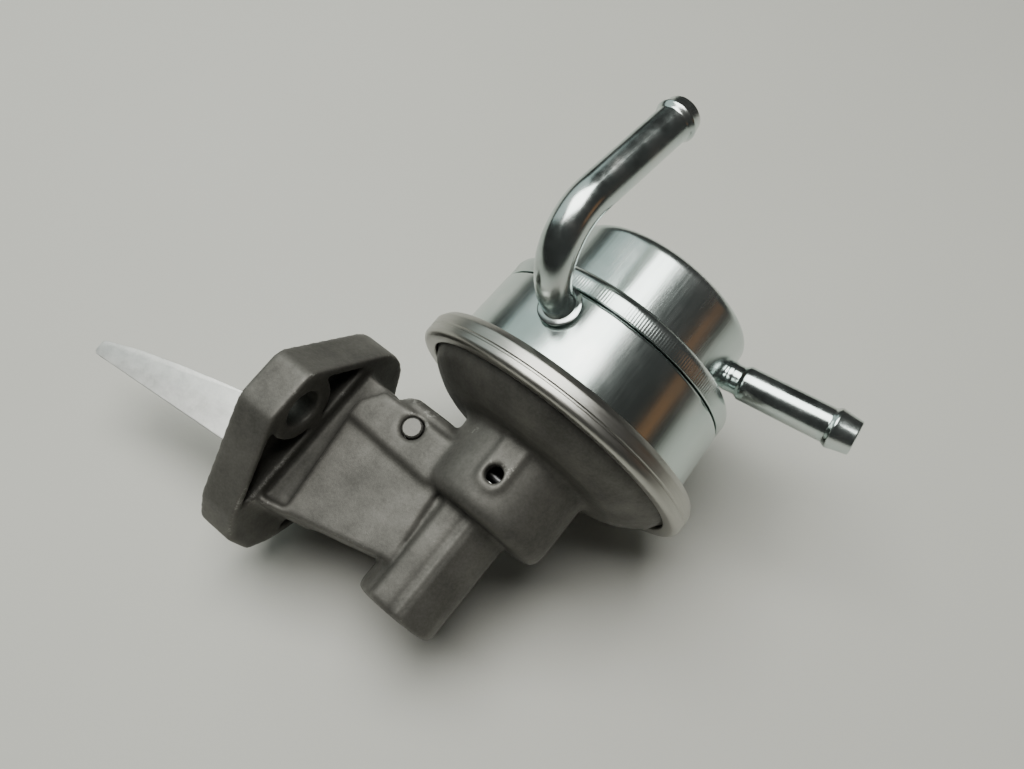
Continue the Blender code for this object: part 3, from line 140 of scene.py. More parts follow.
class Graph:
    """A material's node tree, with short calls for the nodes that the finishes share."""

    def __init__(self, name: str) -> None:
        """Starts a material with one shader.

        Args:
            name: The material's name.
        """
        self.material = bpy.data.materials.new(name)
        self.material.use_nodes = True
        self.nodes = self.material.node_tree.nodes
        self.links = self.material.node_tree.links
        self.shader = self.nodes["Principled BSDF"]
        self.place = self.nodes.new("ShaderNodeTexCoord").outputs["Object"]

    def set(self, **values: object) -> None:
        """Sets constants on the shader's own sockets, with _ for a space."""
        for key, value in values.items():
            self.shader.inputs[key.replace("_", " ")].default_value = value

    def stretched(self, grain: Grain) -> Socket:
        """Coordinates stretched by a grain.

        Args:
            grain: The stretch along each axis.

        Returns:
            The socket that holds them.
        """
        mapping = self.nodes.new("ShaderNodeMapping")
        mapping.inputs["Scale"].default_value = grain.value
        self.links.new(self.place, mapping.inputs["Vector"])
        return mapping.outputs["Vector"]

    def noise(self, grain: Grain, scale: float, detail: float = 4.0, rough: float = 0.55) -> Socket:
        """Noise of a given scale.

        Args:
            grain: How the noise is stretched.
            scale: Cells to a metre.
            detail: Octaves.
            rough: How strong the finer octaves are.

        Returns:
            The factor socket.
        """
        node = self.nodes.new("ShaderNodeTexNoise")
        node.inputs["Scale"].default_value = scale
        node.inputs["Detail"].default_value = detail
        node.inputs["Roughness"].default_value = rough
        self.links.new(self.stretched(grain), node.inputs["Vector"])
        return node.outputs["Fac"]

    def cells(self, grain: Grain, scale: float) -> Socket:
        """Distance to the nearest cell point, for grit and pits.

        Args:
            grain: How the cells are stretched.
            scale: Cells to a metre.

        Returns:
            The distance socket.
        """
        node = self.nodes.new("ShaderNodeTexVoronoi")
        node.inputs["Scale"].default_value = scale
        self.links.new(self.stretched(grain), node.inputs["Vector"])
        return node.outputs["Distance"]

    def attribute(self, name: str) -> Socket:
        """A factor kept on the mesh; it is zero on a mesh without it.

        Args:
            name: The attribute's name.

        Returns:
            The factor socket.
        """
        node = self.nodes.new("ShaderNodeAttribute")
        node.attribute_name = name
        return node.outputs["Fac"]

    def ramp(self, source: Socket, stops: list[tuple[float, Colour]]) -> Socket:
        """A colour ramp on a factor.

        Args:
            source: The factor socket.
            stops: Pairs of position and colour.

        Returns:
            The colour socket.
        """
        node = self.nodes.new("ShaderNodeValToRGB")
        elements = node.color_ramp.elements
        while len(elements) < len(stops):
            elements.new(0.5)
        for element, (position, colour) in zip(elements, stops):
            element.position = position
            element.color = (*colour, 1.0)
        self.links.new(source, node.inputs["Fac"])
        return node.outputs["Color"]

    def span(self, source: Socket, given: tuple[float, float], wanted: tuple[float, float]) -> Socket:
        """Maps a factor from one range to another, clamped.

        Args:
            source: The factor socket.
            given: The range that the factor has.
            wanted: The range that it gets.

        Returns:
            The mapped factor socket.
        """
        node = self.nodes.new("ShaderNodeMapRange")
        node.inputs["From Min"].default_value, node.inputs["From Max"].default_value = given
        node.inputs["To Min"].default_value, node.inputs["To Max"].default_value = wanted
        self.links.new(source, node.inputs["Value"])
        return node.outputs["Result"]

    def add(self, first: Socket, second: Socket, share: float) -> Socket:
        """Adds a share of one factor to another.

        Args:
            first: The factor that is taken whole.
            second: The factor that is taken in part.
            share: How much of the second is added.

        Returns:
            The sum's socket.
        """
        node = self.nodes.new("ShaderNodeMath")
        node.operation = "MULTIPLY_ADD"
        node.inputs[1].default_value = share
        self.links.new(second, node.inputs[0])
        self.links.new(first, node.inputs[2])
        return node.outputs["Value"]

    def colour(self, socket: Socket) -> None:
        """Links the base colour."""
        self.links.new(socket, self.shader.inputs["Base Color"])

    def roughness(self, socket: Socket) -> None:
        """Links the roughness."""
        self.links.new(socket, self.shader.inputs["Roughness"])

    def bump(self, height: Socket, distance: float) -> None:
        """Links a bump of a real height.

        Args:
            height: The height factor.
            distance: The height in metres of a factor of one.
        """
        node = self.nodes.new("ShaderNodeBump")
        node.inputs["Distance"].default_value = distance
        node.inputs["Strength"].default_value = 1.0
        self.links.new(height, node.inputs["Height"])
        self.links.new(node.outputs["Normal"], self.shader.inputs["Normal"])


@dataclass(frozen=True)
class Finish:
    """A finish with a mottled colour, a mottled roughness and a fine bump."""

    slot: Slot
    dark: Colour
    light: Colour
    metallic: float
    rough: tuple[float, float]
    grain: Grain = Grain.EVEN
    broad_scale: float = 90.0
    fine_scale: float = 1600.0
    fine_share: float = 0.5
    mottle: tuple[float, float] = (0.45, 1.05)
    bump_height: float = 0.00002

    def build(self) -> bpy.types.Material:
        """Makes the material.

        Returns:
            The material, named for its slot.
        """
        graph = Graph(self.slot.value)
        graph.set(Metallic=self.metallic)
        broad = graph.noise(self.grain, self.broad_scale)
        fine = graph.noise(self.grain, self.fine_scale, detail=6.0, rough=0.65)
        mixed = graph.add(broad, fine, self.fine_share)
        graph.colour(graph.ramp(mixed, list(zip(self.mottle, (self.dark, self.light)))))
        graph.roughness(graph.span(mixed, self.mottle, self.rough))
        graph.bump(fine, self.bump_height)
        return graph.material


@dataclass(frozen=True)
class CastFinish(Finish):
    """Die-cast aluminium: a dull skin with grit and flow marks, and a painted highlight that lightens its
    convex edges.
    """

    grit_scale: float = 4200.0
    grit_share: float = 0.8
    # The third colour and its share make a painted highlight along the convex edges.
    rounding_and_edge_highlight: Colour = (0.27, 0.265, 0.245)
    painted_edge_highlight: float = 0.15
    stops: tuple[float, float, float] = (0.45, 0.98, 1.45)
    smoothed: tuple[float, float] = (0.45, 1.25)

    def build(self) -> bpy.types.Material:
        """Makes the material.

        Returns:
            The material, named for its slot.
        """
        graph = Graph(self.slot.value)
        graph.set(Metallic=self.metallic)
        broad = graph.noise(Grain.EVEN, self.broad_scale, detail=5.0, rough=0.6)
        fine = graph.noise(Grain.EVEN, self.fine_scale, detail=6.0, rough=0.7)
        grit = graph.cells(Grain.EVEN, self.grit_scale)
        # The edge attribute adds the painted highlight: convex edges lean towards the lighter third colour.
        mixed = graph.add(graph.add(broad, fine, self.fine_share), graph.attribute(PAINTED_EDGE_HIGHLIGHT), self.painted_edge_highlight)
        graph.colour(graph.ramp(mixed, list(zip(self.stops, (self.dark, self.light, self.rounding_and_edge_highlight)))))
        graph.roughness(graph.span(mixed, self.smoothed, (self.rough[1], self.rough[0])))
        graph.bump(graph.add(fine, grit, self.grit_share), self.bump_height)
        return graph.material


@dataclass(frozen=True)
class PlatedFinish(Finish):
    """Bright zinc plate over drawn steel: draw lines along the can and a faint blue-green cast."""

    tint: Colour = (0.60, 0.68, 0.66)
    draw_share: float = 0.8
    stops: tuple[float, float, float] = (0.30, 0.50, 0.72)
    clouded: tuple[float, float] = (0.6, 1.2)

    def build(self) -> bpy.types.Material:
        """Makes the material.

        Returns:
            The material, named for its slot.
        """
        graph = Graph(self.slot.value)
        graph.set(Metallic=self.metallic)
        cloud = graph.noise(Grain.EVEN, self.broad_scale, detail=3.0, rough=0.5)
        draw = graph.noise(self.grain, self.fine_scale, detail=5.0, rough=0.6)
        graph.colour(graph.ramp(cloud, list(zip(self.stops, (self.dark, self.tint, self.light)))))
        mixed = graph.add(cloud, draw, self.draw_share)
        graph.roughness(graph.span(mixed, self.clouded, self.rough))
        graph.bump(draw, self.bump_height)
        return graph.material


FINISHES = (
    CastFinish(Slot.CAST, (0.055, 0.054, 0.048), (0.150, 0.146, 0.132), 0.55, (0.46, 0.64)),
    Finish(
        Slot.MACHINED,
        dark=(0.66, 0.655, 0.63),
        light=(0.79, 0.785, 0.76),
        metallic=0.90,
        rough=(0.32, 0.44),
        broad_scale=400.0,
        bump_height=0.000012,
    ),
    Finish(
        Slot.SATIN,
        dark=(0.33, 0.325, 0.30),
        light=(0.52, 0.515, 0.48),
        metallic=1.0,
        rough=(0.26, 0.42),
        grain=Grain.AROUND_CAN,
        broad_scale=120.0,
        fine_scale=2200.0,
    ),
    PlatedFinish(
        Slot.PLATED,
        dark=(0.57, 0.64, 0.61),
        light=(0.82, 0.85, 0.83),
        metallic=1.0,
        rough=(0.17, 0.27),
        grain=Grain.ALONG_CAN,
        broad_scale=70.0,
        fine_scale=1500.0,
        bump_height=0.000004,
    ),
    Finish(Slot.PRESSED, (0.33, 0.33, 0.32), (0.50, 0.50, 0.49), 1.0, (0.30, 0.45)),
    Finish(Slot.WIRE, (0.13, 0.13, 0.135), (0.24, 0.24, 0.245), 1.0, (0.34, 0.48)),
    Finish(Slot.DIE_CAST, (0.36, 0.36, 0.36), (0.52, 0.52, 0.52), 0.9, (0.40, 0.55)),
    Finish(Slot.BRASS, (0.55, 0.38, 0.15), (0.80, 0.62, 0.30), 1.0, (0.25, 0.40)),
    Finish(Slot.RUBBER, (0.015, 0.015, 0.015), (0.05, 0.05, 0.048), 0.0, (0.55, 0.75)),
)

LOOKS = {
    Look.PIPE: PlatedFinish(
        Slot.PLATED,
        dark=(0.44, 0.49, 0.475),
        light=(0.66, 0.69, 0.67),
        metallic=1.0,
        rough=(0.13, 0.26),
        broad_scale=160.0,
        fine_scale=900.0,
        bump_height=0.000008,
    ),
    Look.DRAWN: PlatedFinish(
        Slot.PLATED,
        dark=(0.57, 0.63, 0.61),
        light=(0.82, 0.85, 0.83),
        metallic=1.0,
        rough=(0.18, 0.30),
        grain=Grain.ALONG_CAN,
        broad_scale=60.0,
        fine_scale=1300.0,
        bump_height=0.000022,
    ),
    Look.PIN_END: Finish(Slot.MACHINED, (0.10, 0.098, 0.09), (0.19, 0.187, 0.175), 0.7, (0.38, 0.55)),
}


class Finishes:
    """All finishes, made once, and the way they are put on pieces."""

    def __init__(self) -> None:
        """Makes every material."""
        self.made: dict[Slot | Look, bpy.types.Material] = {}
        self.made.update({finish.slot: finish.build() for finish in FINISHES})
        self.made.update({look: finish.build() for look, finish in LOOKS.items()})

    def dress(self, obj: bpy.types.Object, slot: Slot, look: Look | None = None) -> None:
        """Gives a piece one finish.

        Args:
            obj: The piece.
            slot: The slot whose finish it takes.
            look: A look of its own within the slot.
        """
        obj.data.materials.clear()
        obj.data.materials.append(self.made[look or slot])

    def dress_solids(self) -> None:
        """Gives every CAD node the finish that the record names for it."""
        for entry in frame["record"]["subparts"]:
            self.dress(frame["nodes"][entry["node"]], Slot(entry["material_slot"]))
        self.dress(frame["nodes"]["pivot_pin"], Slot.MACHINED, Look.PIN_END)


class Shop:
    """Mesh making that the sub-assemblies share."""

    @staticmethod
    def object(name: str, edit: bmesh.types.BMesh, smooth: bool = True) -> bpy.types.Object:
        """Turns a bmesh into an object in the scene.

        Args:
            name: The piece's name.
            edit: The mesh; it is freed.
            smooth: Whether curved faces are shaded smooth.

        Returns:
            The new object.
        """
        mesh = bpy.data.meshes.new(name)
        edit.to_mesh(mesh)
        edit.free()
        if smooth:
            mesh.shade_smooth()
            mesh.set_sharp_from_angle(angle=SMOOTH_ANGLE)
        obj = bpy.data.objects.new(name, mesh)
        bpy.context.scene.collection.objects.link(obj)
        return obj

    @staticmethod
    def swept(profile: Profile, angle: float, steps: int) -> bmesh.types.BMesh:
        """Sweeps a profile of (radius, height) through an angle about Z.

        Args:
            profile: The profile; it is closed unless it starts on the axis.
            angle: The angle that it sweeps.
            steps: Steps in that angle.

        Returns:
            The swept mesh.
        """
        edit = bmesh.new()
        verts = [edit.verts.new((radius, 0.0, height)) for radius, height in profile]
        ends = verts[1:] + verts[:1] if profile[0][0] > 0.0 else verts[1:]
        for first, second in zip(verts, ends):
            edit.edges.new((first, second))
        line = edit.verts[:] + edit.edges[:]
        bmesh.ops.spin(edit, geom=line, angle=angle, steps=steps, **ABOUT_Z)
        return edit

    @staticmethod
    def spun(profile: Profile, steps: int) -> bmesh.types.BMesh:
        """Spins a profile of (radius, height) through a full turn about Z.

        Args:
            profile: The profile; it is closed unless it starts on the axis.
            steps: Steps in the full turn.

        Returns:
            The spun mesh, with its faces pointing out.
        """
        sector = FULL_TURN / SECTORS
        edit = Shop.swept(profile, sector, steps // SECTORS)
        whole = edit.verts[:] + edit.edges[:] + edit.faces[:]
        turned = FULL_TURN - sector
        bmesh.ops.spin(edit, geom=whole, angle=turned, steps=SECTORS - 1, use_duplicate=True, **ABOUT_Z)
        bmesh.ops.remove_doubles(edit, verts=edit.verts, dist=DOUBLE)
        bmesh.ops.recalc_face_normals(edit, faces=edit.faces)
        return edit

    @staticmethod
    def softened(corners: Corners, closed: bool = True) -> Profile:
        """A profile from corners of (radius, height, rounding), with an arc at each rounded corner.

        Args:
            corners: The corners in order, in millimetres.
            closed: Whether the first and last corners are rounded too.

        Returns:
            The profile's points.
        """
        points: Profile = []
        scaled = [tuple(value * MILLIMETRE for value in corner) for corner in corners]
        count = len(scaled)
        for index, (radius, height, rounding) in enumerate(scaled):
            at_end = not closed and index in (0, count - 1)
            if rounding == 0.0 or at_end:
                points.append((radius, height))
                continue
            corner = Vector((radius, height))
            before = (Vector(scaled[index - 1][:2]) - corner).normalized()
            after = (Vector(scaled[(index + 1) % count][:2]) - corner).normalized()
            half = before.angle(after) / 2.0
            reach = rounding / math.tan(half)
            centre = corner + (before + after).normalized() * rounding / math.sin(half)
            first = corner + before * reach - centre
            last = corner + after * reach - centre
            turn = first.angle_signed(last)
            steps = max(ARC_LEAST, round(abs(turn) / ARC_STEP))
            for step in range(steps + 1):
                spot = centre + Matrix.Rotation(-turn * step / steps, 2) @ first
                points.append((spot.x, spot.y))
        return points

    @staticmethod
    def stand_for(
        piece: bpy.types.Object, node: str, slot: Slot, finishes: Finishes, look: Look | None = None
    ) -> None:
        """Makes a piece stand for a CAD node: it takes its body, its slot and its place.

        Args:
            piece: The fine piece.
            node: The node that it replaces.
            slot: The record's material slot.
            finishes: The finishes.
            look: A look of its own within the slot.
        """
        bodies = frame["record"]["behaviour"]["bodies"]
        body = next(name for name, nodes in bodies.items() if node in nodes)
        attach(piece, body)
        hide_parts(node)
        finishes.dress(piece, slot, look)

    @staticmethod
    def merged_copy(node: str) -> bmesh.types.BMesh:
        """A copy of a CAD node's mesh with its loose triangles merged.

        Args:
            node: The node.

        Returns:
            The merged mesh.
        """
        edit = bmesh.new()
        edit.from_mesh(frame["nodes"][node].data)
        bmesh.ops.remove_doubles(edit, verts=edit.verts, dist=SOLID_DOUBLE)
        return edit


@dataclass
class CanAxis:
    """The axis that the cans, the ring and the boss share, in metres."""

    x: float
    rim: float
    ring_over_rim: ClassVar[float] = 1.2

    @classmethod
    def from_frame(cls) -> "CanAxis":
        """Reads the axis from the crimp ring's solid."""
        low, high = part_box("crimp_ring")
        return cls(x=(low.x + high.x) / 2.0, rim=high.y - cls.ring_over_rim * MILLIMETRE)

    def place(self) -> Matrix:
        """The place whose local Z runs up the can from the rim."""
        return Matrix.Translation((self.x, self.rim, 0.0)) @ Matrix.Rotation(-math.pi / 2.0, 4, "X")

    def point(self, radial: Vector, radius: float, height: float) -> Vector:
        """A point at a radius along a direction and a height over the rim."""
        return Vector((self.x, self.rim + height, 0.0)) + radial * radius


@dataclass(frozen=True)
class Teeth:
    """A fine knurl round a shell: every vertex within a span of radius and height is waved."""

    count: int
    radii: tuple[float, float]
    heights: tuple[float, float]
    radial: float
    upward: float

    def cut(self, edit: bmesh.types.BMesh) -> None:
        """Presses the teeth into a shell that is spun about its own Z.

        Args:
            edit: The shell's mesh, in metres.
        """
        for vert in edit.verts:
            radius = math.hypot(vert.co.x, vert.co.y) / MILLIMETRE
            height = vert.co.z / MILLIMETRE
            if self.radii[0] <= radius <= self.radii[1] and self.heights[0] <= height <= self.heights[1]:
                wave = 0.5 - 0.5 * math.cos(self.count * math.atan2(vert.co.y, vert.co.x))
                vert.co.x *= 1.0 + self.radial * wave / radius
                vert.co.y *= 1.0 + self.radial * wave / radius
                vert.co.z -= self.upward * wave * MILLIMETRE


@dataclass
class Shell:
    """A spun shell of revolution that stands for one node, with its corners in millimetres."""

    node: str
    slot: Slot
    corners: Corners
    steps: int = 240
    look: Look | None = None
    teeth: Teeth | None = None

    def build(self, place: Matrix, finishes: Finishes, closed: bool = True) -> None:
        """Spins the shell and hides the solid that it stands for.

        Args:
            place: Where its local axes stand.
            finishes: The finishes.
            closed: Whether the profile stays clear of the axis.
        """
        edit = Shop.spun(Shop.softened(self.corners, closed), self.steps)
        if self.teeth:
            self.teeth.cut(edit)
        bmesh.ops.transform(edit, matrix=place, verts=edit.verts)
        shell = Shop.object(self.node + "_shell", edit)
        Shop.stand_for(shell, self.node, self.slot, finishes, self.look)


@dataclass
class Cans:
    """The crimp ring and the two plated cans, with corners of (radius, height over the rim, rounding)."""

    axis: CanAxis
    ring: Corners = (
        (28.6, 1.1, 0.2),
        (29.7, 1.2, 0.2),
        (29.95, 0.6, 0.1),
        (30.35, 0.6, 0.1),
        (30.75, 1.2, 0.3),
        (32.0, 1.05, 0.8),
        (33.0, -0.4, 0.9),
        (33.0, -2.3, 0.1),
        (32.8, -2.5, 0.1),
        (32.8, -2.8, 0.1),
        (33.0, -3.0, 0.1),
        (33.0, -5.1, 1.35),
        (29.6, -5.1, 0.35),
        (29.6, -4.3, 0.15),
        (32.2, -4.3, 0.6),
        (32.2, 0.35, 0.5),
        (28.6, 0.4, 0.15),
    )
    middle: Corners = (
        (31.9, 0.1, 0.0),
        (31.9, -0.6, 0.0),
        (27.5, -0.6, 0.4),
        (26.8, 15.2, 0.8),
        (25.7, 15.7, 0.3),
        (25.7, 18.8, 0.7),
        (18.5, 18.8, 0.0),
        (18.5, 19.5, 0.0),
        (26.4, 19.5, 1.4),
        (26.4, 16.4, 0.35),
        (27.5, 16.15, 0.9),
        (28.2, 0.1, 0.9),
    )
    upper: Corners = (
        (0.0, 36.1, 0.0),
        (12.0, 36.1, 1.2),
        (13.2, 36.4, 1.2),
        (21.65, 36.4, 2.6),
        (21.65, 21.4, 1.3),
        (27.4, 21.4, 2.2),
        (27.4, 18.4, 0.0),
        (27.4, 16.55, 0.3),
        (26.7, 16.55, 0.1),
        (26.7, 20.7, 1.5),
        (20.95, 20.7, 2.0),
        (20.95, 35.7, 1.9),
        (0.0, 35.7, 0.0),
    )
    ring_knurl: Teeth = Teeth(RING_TEETH, (0.0, 29.75), (0.5, 1.3), radial=0.0, upward=0.22)
    band_knurl: Teeth = Teeth(BAND_TEETH, (27.1, 27.6), (16.8, 19.4), radial=-0.035, upward=0.0)

    def build(self, finishes: Finishes) -> None:
        """Spins the three shells.

        Args:
            finishes: The finishes.
        """
        place = self.axis.place()
        ring_steps = RING_TEETH * STEPS_PER_TOOTH
        band_steps = BAND_TEETH * STEPS_PER_TOOTH
        Shell("crimp_ring", Slot.SATIN, self.ring, ring_steps, teeth=self.ring_knurl).build(place, finishes)
        Shell("middle_can", Slot.PLATED, self.middle).build(place, finishes)
        upper = Shell("upper_can", Slot.PLATED, self.upper, band_steps, Look.DRAWN, self.band_knurl)
        upper.build(place, finishes, closed=False)


@dataclass(frozen=True)
class Pipe:
    """A hose pipe with a collar at its root, a bead and a drawn-in nose, all in millimetres."""

    radius: float = 3.78
    wall: float = 0.8
    sides: int = 72
    neck_radius: float = 3.3
    neck_length: float = 3.4
    neck_blend: float = 1.2
    collar_radius: float = 4.4
    collar_half: float = 0.4
    bead_radius: float = 4.4
    bead_half: float = 1.3
    bead_back: float = 4.5
    bead_ease: float = 1.5
    nose_radius: float = 3.7
    nose_curve: float = 0.8
    end_round: float = 0.3
    bore_chamfer: float = 0.2

    def outer(self, along: float, total: float, collar_at: float) -> float:
        """The outer radius at a distance along the pipe.

        Args:
            along: The distance from the root.
            total: The pipe's whole length.
            collar_at: The middle of the collar.

        Returns:
            The radius in millimetres.
        """
        past_neck = min(max((along - self.neck_length) / self.neck_blend, 0.0), 1.0)
        eased = past_neck * past_neck * (3.0 - 2.0 * past_neck)
        radius = self.neck_radius + (self.radius - self.neck_radius) * eased
        from_collar = abs(along - collar_at) / self.collar_half
        if from_collar < 1.0:
            return radius + (self.collar_radius - radius) * math.sqrt(1.0 - from_collar**2)
        from_bead = along - (total - self.bead_back)
        if -self.bead_half < from_bead <= 0.0:
            swell = math.cos(0.5 * math.pi * from_bead / self.bead_half) ** self.bead_ease
            radius += (self.bead_radius - self.radius) * swell
        elif from_bead > 0.0:
            share = from_bead / self.bead_back
            radius = self.bead_radius - (self.bead_radius - self.nose_radius) * share**self.nose_curve
        from_round = self.end_round - (total - along)
        if from_round > 0.0:
            radius -= self.end_round - math.sqrt(max(0.0, self.end_round**2 - from_round**2))
        return radius

    def skin(self, route: list[Vector], collar_at: float) -> bmesh.types.BMesh:
        """The hollow pipe along a route.

        Args:
            route: Closely spaced points from the root to the open end, in metres.
            collar_at: The middle of the collar, in millimetres from the root.

        Returns:
            The pipe's mesh.
        """
        lengths = [0.0]
        for first, second in zip(route, route[1:]):
            lengths.append(lengths[-1] + (second - first).length / MILLIMETRE)
        total = lengths[-1]
        bore = self.radius - self.wall
        radii = [self.outer(along, total, collar_at) for along in lengths]
        radii += [bore + self.bore_chamfer, bore, *[bore] * (len(route) - 1)]
        back = list(reversed(route[:-1]))
        inner_end = route[-1] + (route[-2] - route[-1]).normalized() * self.bore_chamfer * MILLIMETRE
        spots = [*route, route[-1], inner_end, *back]
        tangents = self.tangents(route)
        directions = [*tangents, tangents[-1], tangents[-1], *reversed(tangents[:-1])]
        places = []
        side = tangents[0].orthogonal()
        for spot, direction in zip(spots, directions):
            side = (side - direction * side.dot(direction)).normalized()
            turn = Matrix((side, direction.cross(side), direction)).transposed().to_4x4()
            places.append(Matrix.Translation(spot) @ turn)
        edit = bmesh.new()
        bmesh.ops.create_circle(edit, segments=self.sides, radius=radii[0] * MILLIMETRE, matrix=places[0])
        root = edit.edges[:]
        edges = root
        for index in range(1, len(places)):
            grown = bmesh.ops.extrude_edge_only(edit, edges=edges)["geom"]
            verts = [part for part in grown if isinstance(part, bmesh.types.BMVert)]
            edges = [part for part in grown if isinstance(part, bmesh.types.BMEdge) and part.is_boundary]
            growth = Matrix.Scale(radii[index] / radii[index - 1], 4)
            step = places[index] @ growth @ places[index - 1].inverted()
            bmesh.ops.transform(edit, matrix=step, verts=verts)
        bmesh.ops.bridge_loops(edit, edges=root + edges)
        bmesh.ops.recalc_face_normals(edit, faces=edit.faces)
        return edit

    @staticmethod
    def tangents(route: list[Vector]) -> list[Vector]:
        """The direction of a route at each of its points.

        Args:
            route: The route's points.

        Returns:
            One direction for each point.
        """
        found = []
        for index in range(len(route)):
            before = route[max(index - 1, 0)]
            after = route[min(index + 1, len(route) - 1)]
            found.append((after - before).normalized())
        return found

    @staticmethod
    def line(start: Vector, end: Vector, spacing: float) -> list[Vector]:
        """Points on a straight line from a start to just before an end.

        Args:
            start: The first point.
            end: The point that the line stops short of.
            spacing: The distance between points, in metres.

        Returns:
            The points.
        """
        count = max(2, round((end - start).length / spacing))
        return [start.lerp(end, step / count) for step in range(count)]


@dataclass
class Pipes:
    """The straight inlet pipe and the bent outlet pipe."""

    axis: CanAxis
    inlet_root: float = 21.65
    inlet_height: float = 28.5
    inlet_length: float = 28.15
    inlet_pitch: float = math.radians(6.6)
    inlet_yaw: float = math.radians(2.0)
    outlet_root: float = 27.5
    outlet_height: float = 11.5
    outlet_azimuth: float = math.radians(12.8)
    outlet_rise: float = 3.4
    bend_radius: float = 12.8
    outlet_run: float = 26.5
    outlet_yaw: float = math.radians(2.4)
    outlet_pitch: float = math.radians(11.7)
    bend_steps: int = 64
    insert: float = 1.4
    inlet_extra: float = 0.7
    spacing: float = 0.16
    straight: Pipe = Pipe(neck_length=5.0, neck_radius=3.1, collar_radius=3.2, collar_half=0.6)
    bent: Pipe = Pipe(bead_back=2.6, neck_length=4.0, neck_blend=14.0)
    straight_collar: float = 1.6
    bent_collar: float = 1.2

    def inlet_route(self) -> list[Vector]:
        """The straight pipe's route.

        Returns:
            Its points from inside the can to the open end.
        """
        pitch, yaw = self.inlet_pitch, self.inlet_yaw
        flat = math.cos(pitch)
        direction = Vector((flat * math.cos(yaw), math.sin(pitch), flat * math.sin(yaw)))
        outward = Vector((1.0, 0.0, 0.0))
        root = self.axis.point(outward, self.inlet_root * MILLIMETRE, self.inlet_height * MILLIMETRE)
        start = root - direction * (self.insert + self.inlet_extra) * MILLIMETRE
        end = root + direction * self.inlet_length * MILLIMETRE
        return [*Pipe.line(start, end, self.spacing * MILLIMETRE), end]

    def outlet_route(self) -> list[Vector]:
        """The bent pipe's route: a rise out of the can, a bend and a run.

        Returns:
            Its points from inside the can to the open end.
        """
        pitch, yaw = self.outlet_pitch, self.outlet_yaw
        rise = Vector((-math.sin(self.outlet_azimuth), 0.0, math.cos(self.outlet_azimuth)))
        flat = math.cos(pitch)
        run = Vector((flat * math.sin(yaw), flat * math.cos(yaw), -math.sin(pitch)))
        bend = rise.angle(run)
        tangent = self.bend_radius * math.tan(bend / 2.0) * MILLIMETRE
        root = self.axis.point(rise, self.outlet_root * MILLIMETRE, self.outlet_height * MILLIMETRE)
        start = root + rise * self.outlet_rise * MILLIMETRE
        hinge = rise.cross(run).normalized()
        centre = start + hinge.cross(rise) * self.bend_radius * MILLIMETRE
        points = Pipe.line(root - rise * self.insert * MILLIMETRE, start, self.spacing * MILLIMETRE)
        for step in range(self.bend_steps):
            turn = Matrix.Rotation(bend * step / self.bend_steps, 3, hinge)
            points.append(centre + turn @ (start - centre))
        bend_end = start + rise * tangent + run * tangent
        end = bend_end + run * self.outlet_run * MILLIMETRE
        return [*points, *Pipe.line(bend_end, end, self.spacing * MILLIMETRE), end]

    def build(self, finishes: Finishes) -> None:
        """Makes both pipes.

        Args:
            finishes: The finishes.
        """
        straight = self.straight.skin(self.inlet_route(), self.insert + self.straight_collar)
        bent = self.bent.skin(self.outlet_route(), self.insert + self.bent_collar)
        for node, skin in (("inlet_pipe", straight), ("outlet_pipe", bent)):
            shell = Shop.object(node + "_shell", skin)
            Shop.stand_for(shell, node, Slot.PLATED, finishes, Look.PIPE)


@dataclass
class Softened:
    """A solid with its hard edges rounded off by an even remesh and smoothing, and its convex edges marked
    for a painted highlight; the cell is in millimetres.
    """

    node: str
    slot: Slot
    cell: float
    rounds: int
    factor: float = 0.5
    # These rounds and this height measure how proud an edge stands, for the painted edge highlight.
    highlight_rounds: int = 8
    highlight_height: float = 0.22

    def build(self, finishes: Finishes) -> None:
        """Makes the rounded copy and hides the solid.

        Args:
            finishes: The finishes.
        """
        rough = Shop.object(self.node + "_rough", Shop.merged_copy(self.node), smooth=False)
        rough.matrix_world = frame["nodes"][self.node].matrix_world.copy()
        remesh = rough.modifiers.new("even", "REMESH")
        remesh.mode = "VOXEL"
        remesh.voxel_size = self.cell * MILLIMETRE
        remesh.adaptivity = 0.0
        smooth = rough.modifiers.new("rounding_and_edge_highlight", "SMOOTH")
        smooth.factor = self.factor
        smooth.iterations = self.rounds
        bpy.context.view_layer.update()
        graph = bpy.context.evaluated_depsgraph_get()
        mesh = bpy.data.meshes.new_from_object(rough.evaluated_get(graph))
        mesh.transform(rough.matrix_world)
        bpy.data.objects.remove(rough)
        mesh.shade_smooth()
        self.mark_edge_highlight(mesh)
        piece = bpy.data.objects.new(self.node + "_worn", mesh)
        bpy.context.scene.collection.objects.link(piece)
        log.info("%s has %d faces", piece.name, len(mesh.polygons))
        Shop.stand_for(piece, self.node, self.slot, finishes)

    def mark_edge_highlight(self, mesh: bpy.types.Mesh) -> None:
        """Keeps on each vertex how far it stands proud of its neighbourhood, as a share of a cell; the cast
        finish paints a highlight on the proud edges from it.

        Args:
            mesh: The worn mesh.
        """
        count = len(mesh.vertices)
        spots = np.empty(count * 3)
        mesh.vertices.foreach_get("co", spots)
        spots = spots.reshape(-1, 3)
        normals = np.empty(count * 3)
        mesh.vertex_normals.foreach_get("vector", normals)
        ends = np.empty(len(mesh.edges) * 2, dtype=np.int64)
        mesh.edges.foreach_get("vertices", ends)
        first, second = ends.reshape(-1, 2).T
        degree = np.bincount(ends, minlength=count).reshape(-1, 1)
        evened = spots.copy()
        for _ in range(self.highlight_rounds):
            total = np.zeros_like(evened)
            for axis in range(3):
                total[:, axis] = np.bincount(first, evened[second, axis], count)
                total[:, axis] += np.bincount(second, evened[first, axis], count)
            evened = (evened + total / np.maximum(degree, 1)) / 2.0
        proud = np.sum((spots - evened) * normals.reshape(-1, 3), axis=1)
        share = np.clip(proud / (self.highlight_height * MILLIMETRE), -1.0, 1.0)
        # The attribute drives the painted highlight on the cast finish's convex edges.
        layer = mesh.attributes.new(PAINTED_EDGE_HIGHLIGHT, "FLOAT", "POINT")
        layer.data.foreach_set("value", share.astype(np.float32))


